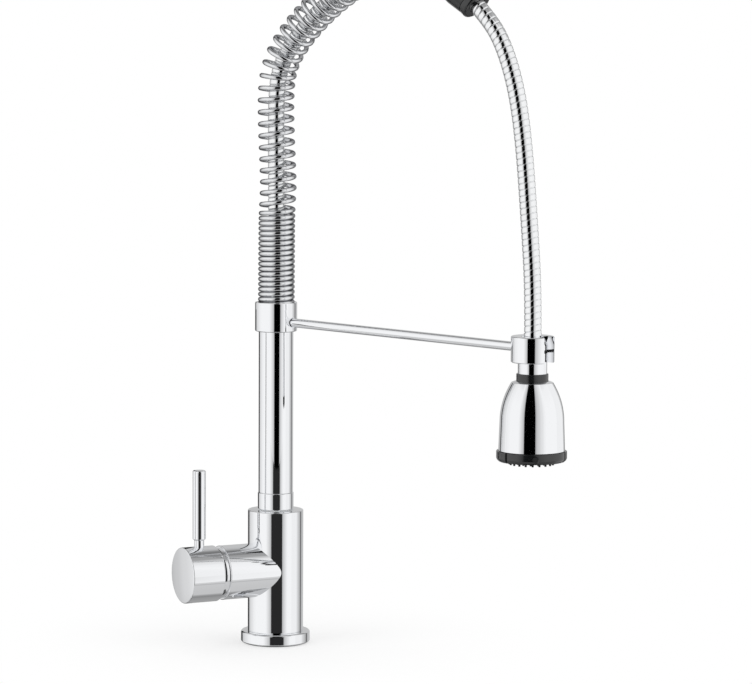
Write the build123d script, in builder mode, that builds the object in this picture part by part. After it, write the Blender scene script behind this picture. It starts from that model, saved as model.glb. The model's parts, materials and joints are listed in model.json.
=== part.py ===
from build123d import *
import math
import os

os.makedirs("parts", exist_ok=True)

# Single-lever kitchen faucet with a spring neck, a hanging metal hose and a pull-down spray.
# The origin is the centre of the foot, on the deck. +Z is up and the neck reaches out along +X.
# All lengths are millimetres and all angles are degrees.

# Fits
running_gap = 0.05       # radial, where one piece turns or slides in another
thread_gap = 0.05        # radial, where one piece is screwed or pushed into another
play = 0.1               # axial, between pieces that move past each other

# Foot and body
foot_radius = 28.0
foot_bottom = 0.5        # the rubber seal stands out this far below the foot
foot_top = 9.8
foot_edge = 1.0
foot_seal_radius = 24.0  # to the middle of the seal
foot_seal_width = 4.0
foot_seal_height = 1.95
body_radius = 22.5
body_top = 108.6
body_edge = 0.5
body_wall = 5.5          # around the room for the supply hoses
body_spigot_step = 2.0   # the foot of the body is this much smaller in radius, inside the foot ring
body_spigot_length = 6.0
cavity_top = 24.0

# Threaded holes under the body: M8 for the fixing stud, M10 x 1 for the supply hoses
stud_hole_radius = 3.4
stud_hole_depth = 12.0
stud_reach = 9.5         # from the body's axis, towards the lever
port_radius = 4.5
port_depth = 9.0
port_reach = 4.0
waterway_radius = 2.6
riser_way_radius = 3.0   # of the upright part of each inlet
waterway_overrun = 1.0   # the drill goes this far past a crossing
outlet_radius = 4.6

# Side branch that holds the valve; s is measured along it from the body's axis
branch_heading = -117.6
branch_height = 60.0
branch_radius = 21.9
branch_length = 49.4
branch_edge = 0.5
chamber_floor = 10.0
housing_radius = 17.4
nut_radius = 18.5
nut_seat = 41.0
nut_length = 7.0
nut_slot_width = 3.0
nut_slot_depth = 2.0

# Ceramic valve
inlet_circle = 8.4       # radius that the two inlet ports lie on
inlet_spread = 60.0      # each side of straight up
outlet_drop = 4.5        # of the outlet port, below the valve's axis
valve_base_gap = 0.2
valve_base_thick = 4.0
port_seal_height = 2.2
port_seal_wall = 1.4
disc_thick = 3.5
fixed_disc_radius = 15.9
slider_radius = 13.5
slider_offset = 2.5      # the slider sits this far below the axis when the valve is shut
slider_gap = 0.02
mixing_pocket_radius = 5.4
mixing_pocket_offset = 1.0
mixing_pocket_depth = 2.0
carrier_thick = 5.2
tongue_width = 16.0
tongue_height = 1.4
housing_bore = 16.3
housing_neck_radius = 14.2
housing_neck_length = 5.0
rotor_radius = 12.95
rotor_flange_radius = 15.5
rotor_flange_thick = 2.9
rotor_front = 51.0

# Lever stem, which tilts on a cross pin in the rotor and moves the slider with its ball
pivot_reach = 48.0
lever_arm = 23.0
ball_radius = 2.2
ball_gap = 0.3
stem_arm_radius = 1.5
stem_slot_length = 15.2
stem_thick = 8.0         # in the plane that the lever tilts in
stem_width = 7.0
stem_back = 43.5
stem_front = 76.0
cross_pin_radius = 1.5
cross_pin_length = 24.0

# Trim ring, lever cap and lever pin
trim_radius = 20.3
trim_bore = 13.8
trim_flank = 3.0
trim_height = 5.8
trim_spigot_length = 1.3
trim_spigot_bore = 16.8
cap_radius = 22.5
cap_wall = 1.2
cap_back = 54.9
cap_floor = 62.0
cap_front = 82.3
cap_edge = 0.8
pin_reach = 67.8
pin_radius = 5.3
pin_edge = 0.8
pin_neck_radius = 4.0
pin_thread_radius = 3.35
pin_thread_end = 11.0    # this and the next three are heights above the lever's axis
pin_seat = 21.0
pin_shoulder = 28.3
pin_top = 84.4
grub_length = 6.4
grub_socket = 3.0        # across flats

# Swivel at the foot of the riser
spigot_radius = 9.95
spigot_bore = 5.5
spigot_seat = 98.0
spigot_top = 137.0
spigot_seal_heights = (113.0, 118.5)
glide_radius = 13.9
glide_thick = 0.7
sleeve_radius = 14.5
sleeve_edge = 0.5
sleeve_shoulder = 123.0
sleeve_top = 134.0
seal_width = 2.4
seal_depth = 1.65
snap_thick = 1.0
snap_groove_depth = 0.95
snap_radius = 11.4
snap_opening = 8.0

# Riser tube, its top plug and the collar
riser_radius = 14.0
riser_wall = 1.2
riser_top = 268.0
plug_bottom = 256.0
plug_bore = 5.0
plug_seal_heights = (259.5, 264.0)
spring_seat = 272.0
spring_guide_radius = 10.7
spring_guide_top = 282.0
nipple_radius = 7.6
nipple_top = 291.0
collar_radius = 17.0
collar_edge = 0.8
collar_bottom = 254.0
collar_top = 277.5
spring_recess_radius = 16.0
collar_screw_radius = 2.0
collar_screw_socket = 2.0
collar_screw_height = 262.0

# Arm from the collar to the spray's holder
arm_radius = 3.6
arm_stud_radius = 2.5
arm_stud_length = 2.4
arm_riser_height = 262.0  # of the arm's axis where it would meet the riser's
arm_spray_height = 255.7  # and where it would meet the spray's

# Arch that the spring and the hose in it follow: straight up, then bends of a radius and a turn
arch_straight_top = 443.0
arch_bends = ((61.2, 37.0), (186.0, 25.0), (140.0, 25.0), (60.3, 45.0))

# Spring
wire_radius = 1.8
wire_sides = 4
coil_radius = 13.4       # to the middle of the wire
close_turns = 19
close_pitch = 4.1
open_turns = 34
first_coil_angle = 30.0
end_draw_in = 0.5        # the first and last half turns are drawn in by this
wire_end_gap = 0.4       # under the wire's sloping ends

# Metal hose, in the spring and then hanging from its end
hose_radius = 6.65
hose_groove = 0.75       # depth of the grooves between the ribs
hose_bore = 4.0
rib_pitch = 5.1
hose_nut_radius = 10.2
hose_nut_bottom = 283.0
hose_nut_lip = 293.0
hose_nut_top = 298.0
hose_washer_thick = 1.0
hose_tail_flange = 7.5
hose_tail_top = 306.0
ferrule_radius = 6.9

# Black cap on the end of the spring
cap_plug_radius = 10.6
cap_plug_length = 9.0
cap_plug_bore = 8.3      # wider, because the hose bends here
spring_cap_radius = 15.5
spring_cap_front_radius = 13.2
spring_cap_length = 17.5
spring_cap_edge = 1.0
cap_bore = 7.0
cap_disc_radius = 13.0
cap_disc_thick = 6.5
cap_disc_edge = 2.0
cap_thread_radius = 10.0
cap_thread_length = 6.0
hose_split = 10.0        # the hanging hose starts this deep inside the cap
hose_joint_gap = 0.01    # keeps the hose's two stretches face to face and no more

# Holder and the spray's neck
reach = 246.5            # from the riser's axis to the spray's
holder_radius = 16.75
holder_bottom = 245.0
holder_top = 265.2
holder_slot = 14.0
dock_gap = 0.1
neck_radius = 11.3
neck_bottom = 236.4
cone_bottom = 258.2
cone_top = 264.0
cone_slope = 0.4         # radius lost for each millimetre of height
neck_spigot_radius = 9.95
neck_spigot_bottom = 216.0
neck_spigot_bore = 5.5
neck_seal_height = 253.6
neck_seal_depth = 1.1
core_seal_height = 223.0
clip_bottom = 217.0
ferrule_top = 267.4
black_collar_radius = 12.4
black_collar_bottom = 230.0

# Check valve and filter in the neck
valve_bottom = 231.0
valve_top = 249.0
valve_radius = 7.2
valve_floor = 2.0
valve_roof = 3.0
valve_wall = 1.8
valve_seat_radius = 3.5
poppet_radius = 4.6
poppet_thick = 2.0
poppet_stem_radius = 1.5
poppet_stem_end = 1.0    # the stem stands this far out of the floor's guide
check_spring_radius = 3.0
check_spring_wall = 0.8
filter_flange = 0.5
filter_radius = 3.6
filter_height = 3.0
filter_wall = 0.5

# Spray head: bell, core and the jet in the middle
bell_top = 230.6
bell_bottom = 177.0
bell_foot_radius = 25.7
bell_waist_radius = 24.9
bell_waist = 199.0       # height where the bell's side starts to curve in
bell_swell = 215.0       # height where the lines of the side and the shoulder would meet
bell_shoulder = 229.5
bell_shoulder_radius = 16.2
bell_crown_radius = 13.4
bell_wall = 1.5
core_shoulder_radius = 14.0
core_shoulder_bottom = 224.0
core_column_radius = 13.6
core_flange_radius = 23.2
core_flange_top = 190.0
core_flange_bottom = 186.0
core_well_bottom = 213.0
core_passage_radius = 3.0
journal_radius = 20.0
journal_bottom = 171.6
core_chamber_radius = 17.6
core_chamber_top = 175.0

# Black ring at the front of the spray, with its face plate and nozzles
ring_radius = 26.9
ring_top = 176.7
ring_bottom = 168.6
ring_edge = 2.4
grip_height = 0.4        # of the two raised grips
grip_width = 61.0
grip_heading = 44.8
bump_radius = 3.0
bump_height = 0.5
bump_heading = -46.0
bump_level = 172.6
face_radius = 22.4
face_top = 171.5
face_bottom = 169.4
nozzle_tip = 166.6
nozzle_radius = 1.05
nozzle_sides = 6
nozzle_rings = ((17.0, 20), (11.5, 12))   # radius that the nozzles stand on, and their number
jet_radius = 6.0
jet_bottom = 168.4
jet_shank_radius = 4.5
jet_shank_top = 180.0
jet_bore = 2.6


def turn(plane, axis, points, mode=Mode.ADD):
    """Revolve the outline through points, drawn on plane, around axis."""
    with BuildSketch(plane) as outline:
        with BuildLine():
            Polyline(*points, close=True)
        make_face()
    revolve(outline.sketch, axis=axis, mode=mode)


def ring(plane, axis, inner, outer, bottom, top, mode=Mode.ADD):
    """Add or cut a plain ring, or a disc where inner is 0."""
    turn(plane, axis, [(inner, bottom), (outer, bottom), (outer, top), (inner, top)], mode)


def circles(plane, radius, length, places=((0, 0),), mode=Mode.ADD):
    """Extrude round bosses, or cut round holes, from plane."""
    with BuildSketch(plane) as outline:
        with Locations(*places):
            Circle(radius)
    extrude(outline.sketch, amount=length, mode=mode)


def round_edges(shape, radius):
    """The whole round edges of shape that have this radius."""
    return shape.edges().filter_by(GeomType.CIRCLE).filter_by(lambda edge: abs(edge.radius - radius) < 1e-4)


# Body axis, foot to top
upright = Plane.XZ

# Side branch: seen along it, local x is up
up = Vector(0, 0, 1)
branch_turn = math.radians(branch_heading)
branch_way = Vector(math.cos(branch_turn), math.sin(branch_turn), 0)
branch_centre = Vector(0, 0, branch_height)
branch_plane = Plane(origin=branch_centre, x_dir=up, z_dir=branch_way)
branch_cut = Plane(origin=branch_centre, x_dir=up, z_dir=up.cross(branch_way))
branch_axis = Axis(branch_centre, branch_way)
tilt_plane = Plane(origin=branch_centre + branch_way * pivot_reach, x_dir=up, z_dir=up.cross(branch_way))

# Lever pin: local x is away from the body
pin_centre = branch_centre + branch_way * pin_reach
pin_plane = Plane(origin=pin_centre, x_dir=branch_way, z_dir=up)
pin_cut = Plane(origin=pin_centre, x_dir=branch_way, z_dir=branch_way.cross(up))
pin_axis = Axis(pin_centre, up)

# Spray
spray_cut = Plane(origin=(reach, 0, 0), x_dir=(1, 0, 0), z_dir=(0, -1, 0))
spray_axis = Axis((reach, 0, 0), up)


def spray_plane(height):
    return Plane(origin=(reach, 0, height), x_dir=(1, 0, 0), z_dir=up)


# Levels and radii that several pieces share
body_spigot_radius = body_radius - body_spigot_step
foot_seal_inner = foot_seal_radius - foot_seal_width / 2
foot_seal_outer = foot_seal_radius + foot_seal_width / 2
cavity_radius = body_radius - body_wall
nut_bore_radius = nut_radius + thread_gap
inlet_rise = inlet_circle * math.cos(math.radians(inlet_spread))
inlet_side = inlet_circle * math.sin(math.radians(inlet_spread))
valve_ports = ((inlet_rise, inlet_side), (inlet_rise, -inlet_side), (-outlet_drop, 0))
port_seal_radius = waterway_radius + port_seal_wall
port_pocket_depth = port_seal_height - valve_base_gap
valve_base_back = chamber_floor + valve_base_gap
valve_base_front = valve_base_back + valve_base_thick
slider_back = valve_base_front + disc_thick + slider_gap
carrier_back = slider_back + disc_thick
carrier_front = carrier_back + carrier_thick
rotor_back = carrier_front + play
rotor_shoulder = rotor_back + rotor_flange_thick
ball_reach = pivot_reach - lever_arm
nut_front = nut_seat + nut_length
core_neck_radius = black_collar_radius + play

# Rubber seal under the foot
with BuildPart() as foot_seal:
    ring(upright, Axis.Z, foot_seal_inner + thread_gap, foot_seal_outer - thread_gap, 0, foot_seal_height)
foot_seal.part.label = "foot_seal"
export_step(foot_seal.part, "parts/foot_seal.step")

# Foot ring
with BuildPart() as foot_ring:
    ring(upright, Axis.Z, body_spigot_radius + thread_gap, foot_radius, foot_bottom, foot_top)
    chamfer(round_edges(foot_ring, foot_radius), foot_edge)
    ring(upright, Axis.Z, foot_seal_inner, foot_seal_outer, foot_bottom, foot_seal_height, Mode.SUBTRACT)
foot_ring.part.label = "foot_ring"
export_step(foot_ring.part, "parts/foot_ring.step")

# Body with its side branch
with BuildPart() as mixer_body:
    ring(upright, Axis.Z, 0, body_radius, foot_top, body_top)
    chamfer(round_edges(mixer_body, body_radius).sort_by(Axis.Z)[-1], body_edge)
    ring(upright, Axis.Z, 0, body_spigot_radius, foot_top - body_spigot_length, foot_top)
    circles(branch_plane, branch_radius, branch_length)
    chamfer(round_edges(mixer_body, branch_radius).sort_by(branch_axis)[-1], branch_edge)
    # Valve chamber and the wider thread for its nut
    ring(branch_cut, branch_axis, 0, housing_radius + thread_gap, chamber_floor, branch_length, Mode.SUBTRACT)
    ring(branch_cut, branch_axis, 0, nut_bore_radius, nut_seat - play, branch_length, Mode.SUBTRACT)
    # Room for the supply hoses
    ring(upright, Axis.Z, 0, cavity_radius, foot_top - body_spigot_length, cavity_top, Mode.SUBTRACT)
    # Inlets: up from the supply ports, then along to the valve
    ports_plane = Plane(origin=(0, 0, cavity_top), x_dir=branch_way, z_dir=up)
    inlets = ((port_reach, inlet_side), (port_reach, -inlet_side))
    circles(ports_plane, port_radius, port_depth, inlets, Mode.SUBTRACT)
    inlet_top = branch_height + inlet_rise + waterway_radius + waterway_overrun
    circles(ports_plane, riser_way_radius, inlet_top - cavity_top, inlets, Mode.SUBTRACT)
    inlet_length = chamber_floor - port_reach
    circles(branch_plane.offset(port_reach), waterway_radius, inlet_length, valve_ports[:2], Mode.SUBTRACT)
    # Outlet: back from the valve, then up to the swivel spigot
    circles(branch_plane, waterway_radius, chamber_floor, valve_ports[2:], Mode.SUBTRACT)
    outlet_bottom = branch_height - outlet_drop - waterway_radius - waterway_overrun
    ring(upright, Axis.Z, 0, outlet_radius, outlet_bottom, spigot_seat, Mode.SUBTRACT)
    ring(upright, Axis.Z, 0, spigot_radius + thread_gap, spigot_seat, body_top, Mode.SUBTRACT)
    # Hole for the fixing stud
    circles(ports_plane, stud_hole_radius, stud_hole_depth, ((stud_reach, 0),), Mode.SUBTRACT)
mixer_body.part.label = "mixer_body"
export_step(mixer_body.part, "parts/mixer_body.step")

# Floor of the valve, with pockets for the port seals
with BuildPart() as valve_base:
    ring(branch_cut, branch_axis, 0, housing_radius, valve_base_back, valve_base_front)
    circles(branch_plane.offset(valve_base_back), waterway_radius, valve_base_thick, valve_ports, Mode.SUBTRACT)
    pocket_radius = port_seal_radius + thread_gap
    circles(branch_plane.offset(valve_base_back), pocket_radius, port_pocket_depth, valve_ports, Mode.SUBTRACT)
valve_base.part.label = "valve_base"
export_step(valve_base.part, "parts/valve_base.step")

# Rubber rings between the valve and the body
with BuildPart() as port_seals:
    circles(branch_plane.offset(chamber_floor), port_seal_radius, port_seal_height, valve_ports)
    circles(branch_plane.offset(chamber_floor), waterway_radius, port_seal_height, valve_ports, Mode.SUBTRACT)
port_seals.part.label = "port_seals"
export_step(port_seals.part, "parts/port_seals.step")

# Ceramic disc that stands still
with BuildPart() as fixed_disc:
    ring(branch_cut, branch_axis, 0, fixed_disc_radius, valve_base_front, valve_base_front + disc_thick)
    circles(branch_plane.offset(valve_base_front), waterway_radius, disc_thick, valve_ports, Mode.SUBTRACT)
fixed_disc.part.label = "fixed_disc"
export_step(fixed_disc.part, "parts/fixed_disc.step")

# Ceramic disc that slides on it, with the pocket that joins inlets and outlet
with BuildPart() as slider_disc:
    circles(branch_plane.offset(slider_back), slider_radius, disc_thick, ((-slider_offset, 0),))
    pocket_place = (mixing_pocket_offset - slider_offset, 0)
    circles(
        branch_plane.offset(slider_back), mixing_pocket_radius, mixing_pocket_depth, (pocket_place,), Mode.SUBTRACT
    )
slider_disc.part.label = "slider_disc"
export_step(slider_disc.part, "parts/slider_disc.step")

# Carrier on the sliding disc, with a socket for the stem's ball and a tongue that the rotor turns
with BuildPart() as slider_carrier:
    circles(branch_plane.offset(carrier_back), slider_radius, carrier_thick, ((-slider_offset, 0),))
    with BuildSketch(branch_plane.offset(carrier_front)):
        with Locations((-slider_offset, 0)):
            Circle(slider_radius)
            Rectangle(2 * slider_radius, tongue_width, mode=Mode.INTERSECT)
        Circle(2 * ball_radius, mode=Mode.SUBTRACT)
    extrude(amount=tongue_height)
    socket_floor = ball_reach - ball_radius - ball_gap
    socket_depth = carrier_front - socket_floor
    circles(branch_plane.offset(socket_floor), ball_radius + ball_gap, socket_depth, mode=Mode.SUBTRACT)
slider_carrier.part.label = "slider_carrier"
export_step(slider_carrier.part, "parts/slider_carrier.step")

# Housing around the discs
with BuildPart() as valve_housing:
    rotor_bore = rotor_radius + running_gap
    housing_shoulder = rotor_shoulder + play
    housing_front = nut_seat + housing_neck_length
    turn(branch_cut, branch_axis, [
        (housing_bore, valve_base_front),
        (housing_radius, valve_base_front),
        (housing_radius, nut_seat),
        (housing_neck_radius, nut_seat),
        (housing_neck_radius, housing_front),
        (rotor_bore, housing_front),
        (rotor_bore, housing_shoulder),
        (housing_bore, housing_shoulder),
    ])
valve_housing.part.label = "valve_housing"
export_step(valve_housing.part, "parts/valve_housing.step")

# Ring nut that holds the valve down, with slots for its key
with BuildPart() as valve_nut:
    nut_inner = housing_neck_radius + thread_gap
    ring(branch_cut, branch_axis, nut_inner, nut_radius, nut_seat, nut_front)
    with BuildSketch(branch_plane.offset(nut_front)):
        Rectangle(2 * nut_radius, nut_slot_width)
        Rectangle(nut_slot_width, 2 * nut_radius)
    extrude(amount=-nut_slot_depth, mode=Mode.SUBTRACT)
valve_nut.part.label = "valve_nut"
export_step(valve_nut.part, "parts/valve_nut.step")

# Domed ring in the gap behind the lever cap
with BuildPart() as trim_ring:
    trim_top = branch_length + trim_height
    trim_drop = trim_height - trim_flank
    turn(branch_cut, branch_axis, [
        (trim_bore, trim_top),
        (trim_bore, branch_length),
        (trim_spigot_bore, branch_length),
        (trim_spigot_bore, branch_length - trim_spigot_length),
        (nut_radius, branch_length - trim_spigot_length),
        (nut_radius, branch_length),
        (trim_radius, branch_length),
        (trim_radius, branch_length + trim_flank),
        (trim_radius - trim_drop / 3, branch_length + trim_flank + trim_drop * 2 / 3),
        (trim_radius - trim_drop, trim_top),
    ])
trim_ring.part.label = "trim_ring"
export_step(trim_ring.part, "parts/trim_ring.step")

# Rotor that turns in the housing and carries the lever's cross pin
with BuildPart() as lever_rotor:
    ring(branch_cut, branch_axis, 0, rotor_flange_radius, rotor_back, rotor_shoulder)
    ring(branch_cut, branch_axis, 0, rotor_radius, rotor_shoulder, rotor_front)
    with BuildSketch(branch_plane.offset(rotor_back)):
        Rectangle(2 * rotor_flange_radius, tongue_width + 2 * running_gap)
    extrude(amount=tongue_height, mode=Mode.SUBTRACT)
    with BuildSketch(branch_plane.offset(rotor_back)):
        Rectangle(stem_slot_length, stem_width + 2 * running_gap)
    extrude(amount=rotor_front - rotor_back, mode=Mode.SUBTRACT)
    with BuildSketch(tilt_plane):
        Circle(cross_pin_radius + thread_gap)
    extrude(amount=rotor_radius, both=True, mode=Mode.SUBTRACT)
lever_rotor.part.label = "lever_rotor"
export_step(lever_rotor.part, "parts/lever_rotor.step")

# Cross pin that the lever tilts on
with BuildPart() as tilt_pin:
    with BuildSketch(tilt_plane):
        Circle(cross_pin_radius)
    extrude(amount=cross_pin_length / 2, both=True)
tilt_pin.part.label = "tilt_pin"
export_step(tilt_pin.part, "parts/tilt_pin.step")

# Stem from the ball in the carrier to the lever cap
with BuildPart() as lever_stem:
    with BuildSketch(branch_plane.offset(stem_back)):
        Rectangle(stem_thick, stem_width)
    extrude(amount=stem_front - stem_back)
    circles(branch_plane.offset(ball_reach), stem_arm_radius, stem_back - ball_reach)
    with Locations(branch_centre + branch_way * ball_reach):
        Sphere(ball_radius)
    with BuildSketch(tilt_plane):
        Circle(cross_pin_radius + running_gap)
    extrude(amount=stem_width, both=True, mode=Mode.SUBTRACT)
lever_stem.part.label = "lever_stem"
export_step(lever_stem.part, "parts/lever_stem.step")

# Round lever cap
with BuildPart() as lever_cap:
    ring(branch_cut, branch_axis, 0, cap_radius, cap_back, cap_front)
    chamfer(round_edges(lever_cap, cap_radius).sort_by(branch_axis)[-1], cap_edge)
    ring(branch_cut, branch_axis, 0, cap_radius - cap_wall, cap_back, cap_floor, Mode.SUBTRACT)
    with BuildSketch(branch_plane.offset(cap_floor)):
        Rectangle(stem_thick + 2 * thread_gap, stem_width + 2 * thread_gap)
    extrude(amount=stem_front - cap_floor, mode=Mode.SUBTRACT)
    circles(pin_plane, pin_thread_radius + thread_gap, cap_radius, mode=Mode.SUBTRACT)
    circles(pin_plane.offset(pin_seat), pin_neck_radius + thread_gap, cap_radius - pin_seat, mode=Mode.SUBTRACT)
lever_cap.part.label = "lever_cap"
export_step(lever_cap.part, "parts/lever_cap.step")

# Upright lever pin
with BuildPart() as lever_pin:
    turn(pin_cut, pin_axis, [
        (0, pin_thread_end),
        (pin_thread_radius, pin_thread_end),
        (pin_thread_radius, pin_seat),
        (pin_neck_radius, pin_seat),
        (pin_neck_radius, pin_shoulder),
        (pin_radius, pin_shoulder),
        (pin_radius, pin_top - pin_edge),
        (pin_radius - pin_edge, pin_top),
        (0, pin_top),
    ])
lever_pin.part.label = "lever_pin"
export_step(lever_pin.part, "parts/lever_pin.step")

# Grub screw under the pin, which holds the cap on the stem
with BuildPart() as lever_screw:
    circles(pin_plane.offset(stem_thick / 2), pin_thread_radius, grub_length)
    with BuildSketch(pin_plane.offset(stem_thick / 2 + grub_length)):
        RegularPolygon(grub_socket / 2, 6, major_radius=False)
    extrude(amount=-grub_length / 2, mode=Mode.SUBTRACT)
lever_screw.part.label = "lever_screw"
export_step(lever_screw.part, "parts/lever_screw.step")

# Spigot that the riser turns on, with grooves for its seals and snap ring
snap_root = spigot_radius - snap_groove_depth
with BuildPart() as swivel_spigot:
    ring(upright, Axis.Z, spigot_bore, spigot_radius, spigot_seat, spigot_top)
    for height in spigot_seal_heights:
        groove_bottom = height - seal_width / 2
        groove_top = height + seal_width / 2
        root = spigot_radius - seal_depth
        ring(upright, Axis.Z, root, spigot_radius, groove_bottom, groove_top, Mode.SUBTRACT)
    snap_bottom = sleeve_top + play / 2
    snap_top = snap_bottom + snap_thick + play
    ring(upright, Axis.Z, snap_root, spigot_radius, snap_bottom, snap_top, Mode.SUBTRACT)
swivel_spigot.part.label = "swivel_spigot"
export_step(swivel_spigot.part, "parts/swivel_spigot.step")

# Two rubber rings on the spigot
with BuildPart() as spigot_seals:
    for height in spigot_seal_heights:
        seal_bottom = height - seal_width / 2
        ring(upright, Axis.Z, spigot_radius - seal_depth, spigot_radius, seal_bottom, seal_bottom + seal_width)
spigot_seals.part.label = "spigot_seals"
export_step(spigot_seals.part, "parts/spigot_seals.step")

# Plastic ring that the riser glides on
with BuildPart() as glide_ring:
    ring(upright, Axis.Z, spigot_radius + thread_gap, glide_radius, body_top, body_top + glide_thick)
glide_ring.part.label = "glide_ring"
export_step(glide_ring.part, "parts/glide_ring.step")

# Snap ring that keeps the riser on the spigot
with BuildPart() as snap_ring:
    snap_middle = sleeve_top + play
    ring(upright, Axis.Z, snap_root + thread_gap, snap_radius, snap_middle, snap_middle + snap_thick)
    with BuildSketch(Plane.XY.offset(snap_middle)):
        with Locations((-snap_radius, 0)):
            Rectangle(snap_radius, snap_opening)
    extrude(amount=snap_thick, mode=Mode.SUBTRACT)
snap_ring.part.label = "snap_ring"
export_step(snap_ring.part, "parts/snap_ring.step")

# Sleeve at the foot of the riser
riser_bore = riser_radius - riser_wall
with BuildPart() as riser_sleeve:
    sleeve_bottom = body_top + glide_thick + running_gap
    sleeve_bore = spigot_radius + running_gap
    turn(upright, Axis.Z, [
        (sleeve_bore, sleeve_bottom),
        (sleeve_radius - sleeve_edge, sleeve_bottom),
        (sleeve_radius, sleeve_bottom + sleeve_edge),
        (sleeve_radius, sleeve_shoulder - sleeve_edge),
        (sleeve_radius - sleeve_edge, sleeve_shoulder),
        (riser_bore - thread_gap, sleeve_shoulder),
        (riser_bore - thread_gap, sleeve_top),
        (sleeve_bore, sleeve_top),
    ])
riser_sleeve.part.label = "riser_sleeve"
export_step(riser_sleeve.part, "parts/riser_sleeve.step")

# Riser tube
with BuildPart() as riser_tube:
    ring(upright, Axis.Z, riser_bore, riser_radius, sleeve_shoulder, riser_top)
riser_tube.part.label = "riser_tube"
export_step(riser_tube.part, "parts/riser_tube.step")

# Plug in the top of the riser: a flange that the spring stands on, a guide and a hose nipple
plug_radius = riser_bore - thread_gap
with BuildPart() as riser_plug:
    turn(upright, Axis.Z, [
        (plug_bore, plug_bottom),
        (plug_radius, plug_bottom),
        (plug_radius, riser_top),
        (riser_radius, riser_top),
        (riser_radius, spring_seat),
        (spring_guide_radius, spring_seat),
        (spring_guide_radius, spring_guide_top),
        (nipple_radius, spring_guide_top),
        (nipple_radius, nipple_top),
        (plug_bore, nipple_top),
    ])
    for height in plug_seal_heights:
        groove_bottom = height - seal_width / 2
        root = plug_radius - seal_depth
        ring(upright, Axis.Z, root, plug_radius, groove_bottom, groove_bottom + seal_width, Mode.SUBTRACT)
riser_plug.part.label = "riser_plug"
export_step(riser_plug.part, "parts/riser_plug.step")

# Two rubber rings on the plug
with BuildPart() as riser_seals:
    for height in plug_seal_heights:
        seal_bottom = height - seal_width / 2
        ring(upright, Axis.Z, plug_radius - seal_depth, plug_radius, seal_bottom, seal_bottom + seal_width)
riser_seals.part.label = "riser_seals"
export_step(riser_seals.part, "parts/riser_seals.step")

# Arm's axis, from the riser to the spray
arm_start = Vector(0, 0, arm_riser_height)
arm_end = Vector(reach, 0, arm_spray_height)
arm_line = Plane(origin=arm_start, x_dir=(0, 1, 0), z_dir=arm_end - arm_start)
arm_span = (arm_end - arm_start).length
stud_start = collar_radius - arm_stud_length
stud_end = arm_span - holder_radius + arm_stud_length

# Collar that the riser, the spring and the arm meet in
with BuildPart() as arm_collar:
    ring(upright, Axis.Z, riser_radius + thread_gap, collar_radius, collar_bottom, collar_top)
    chamfer(round_edges(arm_collar, collar_radius), collar_edge)
    ring(upright, Axis.Z, 0, spring_recess_radius, spring_seat, collar_top, Mode.SUBTRACT)
    stud_hole_length = arm_stud_length + collar_radius
    circles(
        arm_line.offset(stud_start), arm_stud_radius + thread_gap, stud_hole_length, mode=Mode.SUBTRACT
    )
    screw_plane = Plane(origin=(0, 0, collar_screw_height), x_dir=(0, 1, 0), z_dir=(-1, 0, 0))
    circles(screw_plane, collar_screw_radius + thread_gap, collar_radius, mode=Mode.SUBTRACT)
arm_collar.part.label = "arm_collar"
export_step(arm_collar.part, "parts/arm_collar.step")

# Grub screw at the back of the collar, tight on the riser
with BuildPart() as collar_screw:
    screw_length = collar_radius - riser_radius - play
    circles(screw_plane.offset(riser_radius), collar_screw_radius, screw_length)
    with BuildSketch(screw_plane.offset(riser_radius + screw_length)):
        RegularPolygon(collar_screw_socket / 2, 6, major_radius=False)
    extrude(amount=-screw_length / 2, mode=Mode.SUBTRACT)
collar_screw.part.label = "collar_screw"
export_step(collar_screw.part, "parts/collar_screw.step")

# Arm, with a stud at each end in the collar and in the holder
with BuildPart() as holder_arm:
    circles(arm_line, arm_radius, arm_span)
    ring(upright, Axis.Z, 0, collar_radius, collar_bottom, collar_top, Mode.SUBTRACT)
    ring(spray_cut, spray_axis, 0, holder_radius, holder_bottom, holder_top, Mode.SUBTRACT)
    circles(arm_line.offset(stud_start), arm_stud_radius, stud_end - stud_start)
holder_arm.part.label = "holder_arm"
export_step(holder_arm.part, "parts/holder_arm.step")

# Open ring that holds the spray's neck, with a cone seat and a slot for the hose
with BuildPart() as spray_holder:
    seat_radius = neck_radius + dock_gap
    seat_top_radius = seat_radius - (holder_top - cone_bottom) * cone_slope
    turn(spray_cut, spray_axis, [
        (seat_radius, holder_bottom),
        (holder_radius - collar_edge, holder_bottom),
        (holder_radius, holder_bottom + collar_edge),
        (holder_radius, holder_top - collar_edge),
        (holder_radius - collar_edge, holder_top),
        (seat_top_radius, holder_top),
        (seat_radius, cone_bottom),
    ])
    with BuildSketch(spray_plane(holder_bottom)):
        with Locations((holder_radius / 2, 0)):
            Rectangle(holder_radius, holder_slot)
    extrude(amount=holder_top - holder_bottom, mode=Mode.SUBTRACT)
    circles(
        arm_line.offset(stud_end - holder_radius / 2),
        arm_stud_radius + thread_gap,
        holder_radius / 2,
        mode=Mode.SUBTRACT,
    )
spray_holder.part.label = "spray_holder"
export_step(spray_holder.part, "parts/spray_holder.step")


# Arch: lengths along it are measured from the spring's seat
def arch_stretches():
    """Each stretch of the arch: its length, start, heading from straight up in radians, and radius."""
    stretches = [(arch_straight_top - spring_seat, Vector(0, 0, spring_seat), 0.0, None)]
    start = Vector(0, 0, arch_straight_top)
    heading = 0.0
    for radius, bend in arch_bends:
        turned = math.radians(bend)
        stretches.append((radius * turned, start, heading, radius))
        centre = start + Vector(math.cos(heading), 0, -math.sin(heading)) * radius
        heading += turned
        start = centre - Vector(math.cos(heading), 0, -math.sin(heading)) * radius
    return stretches


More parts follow.
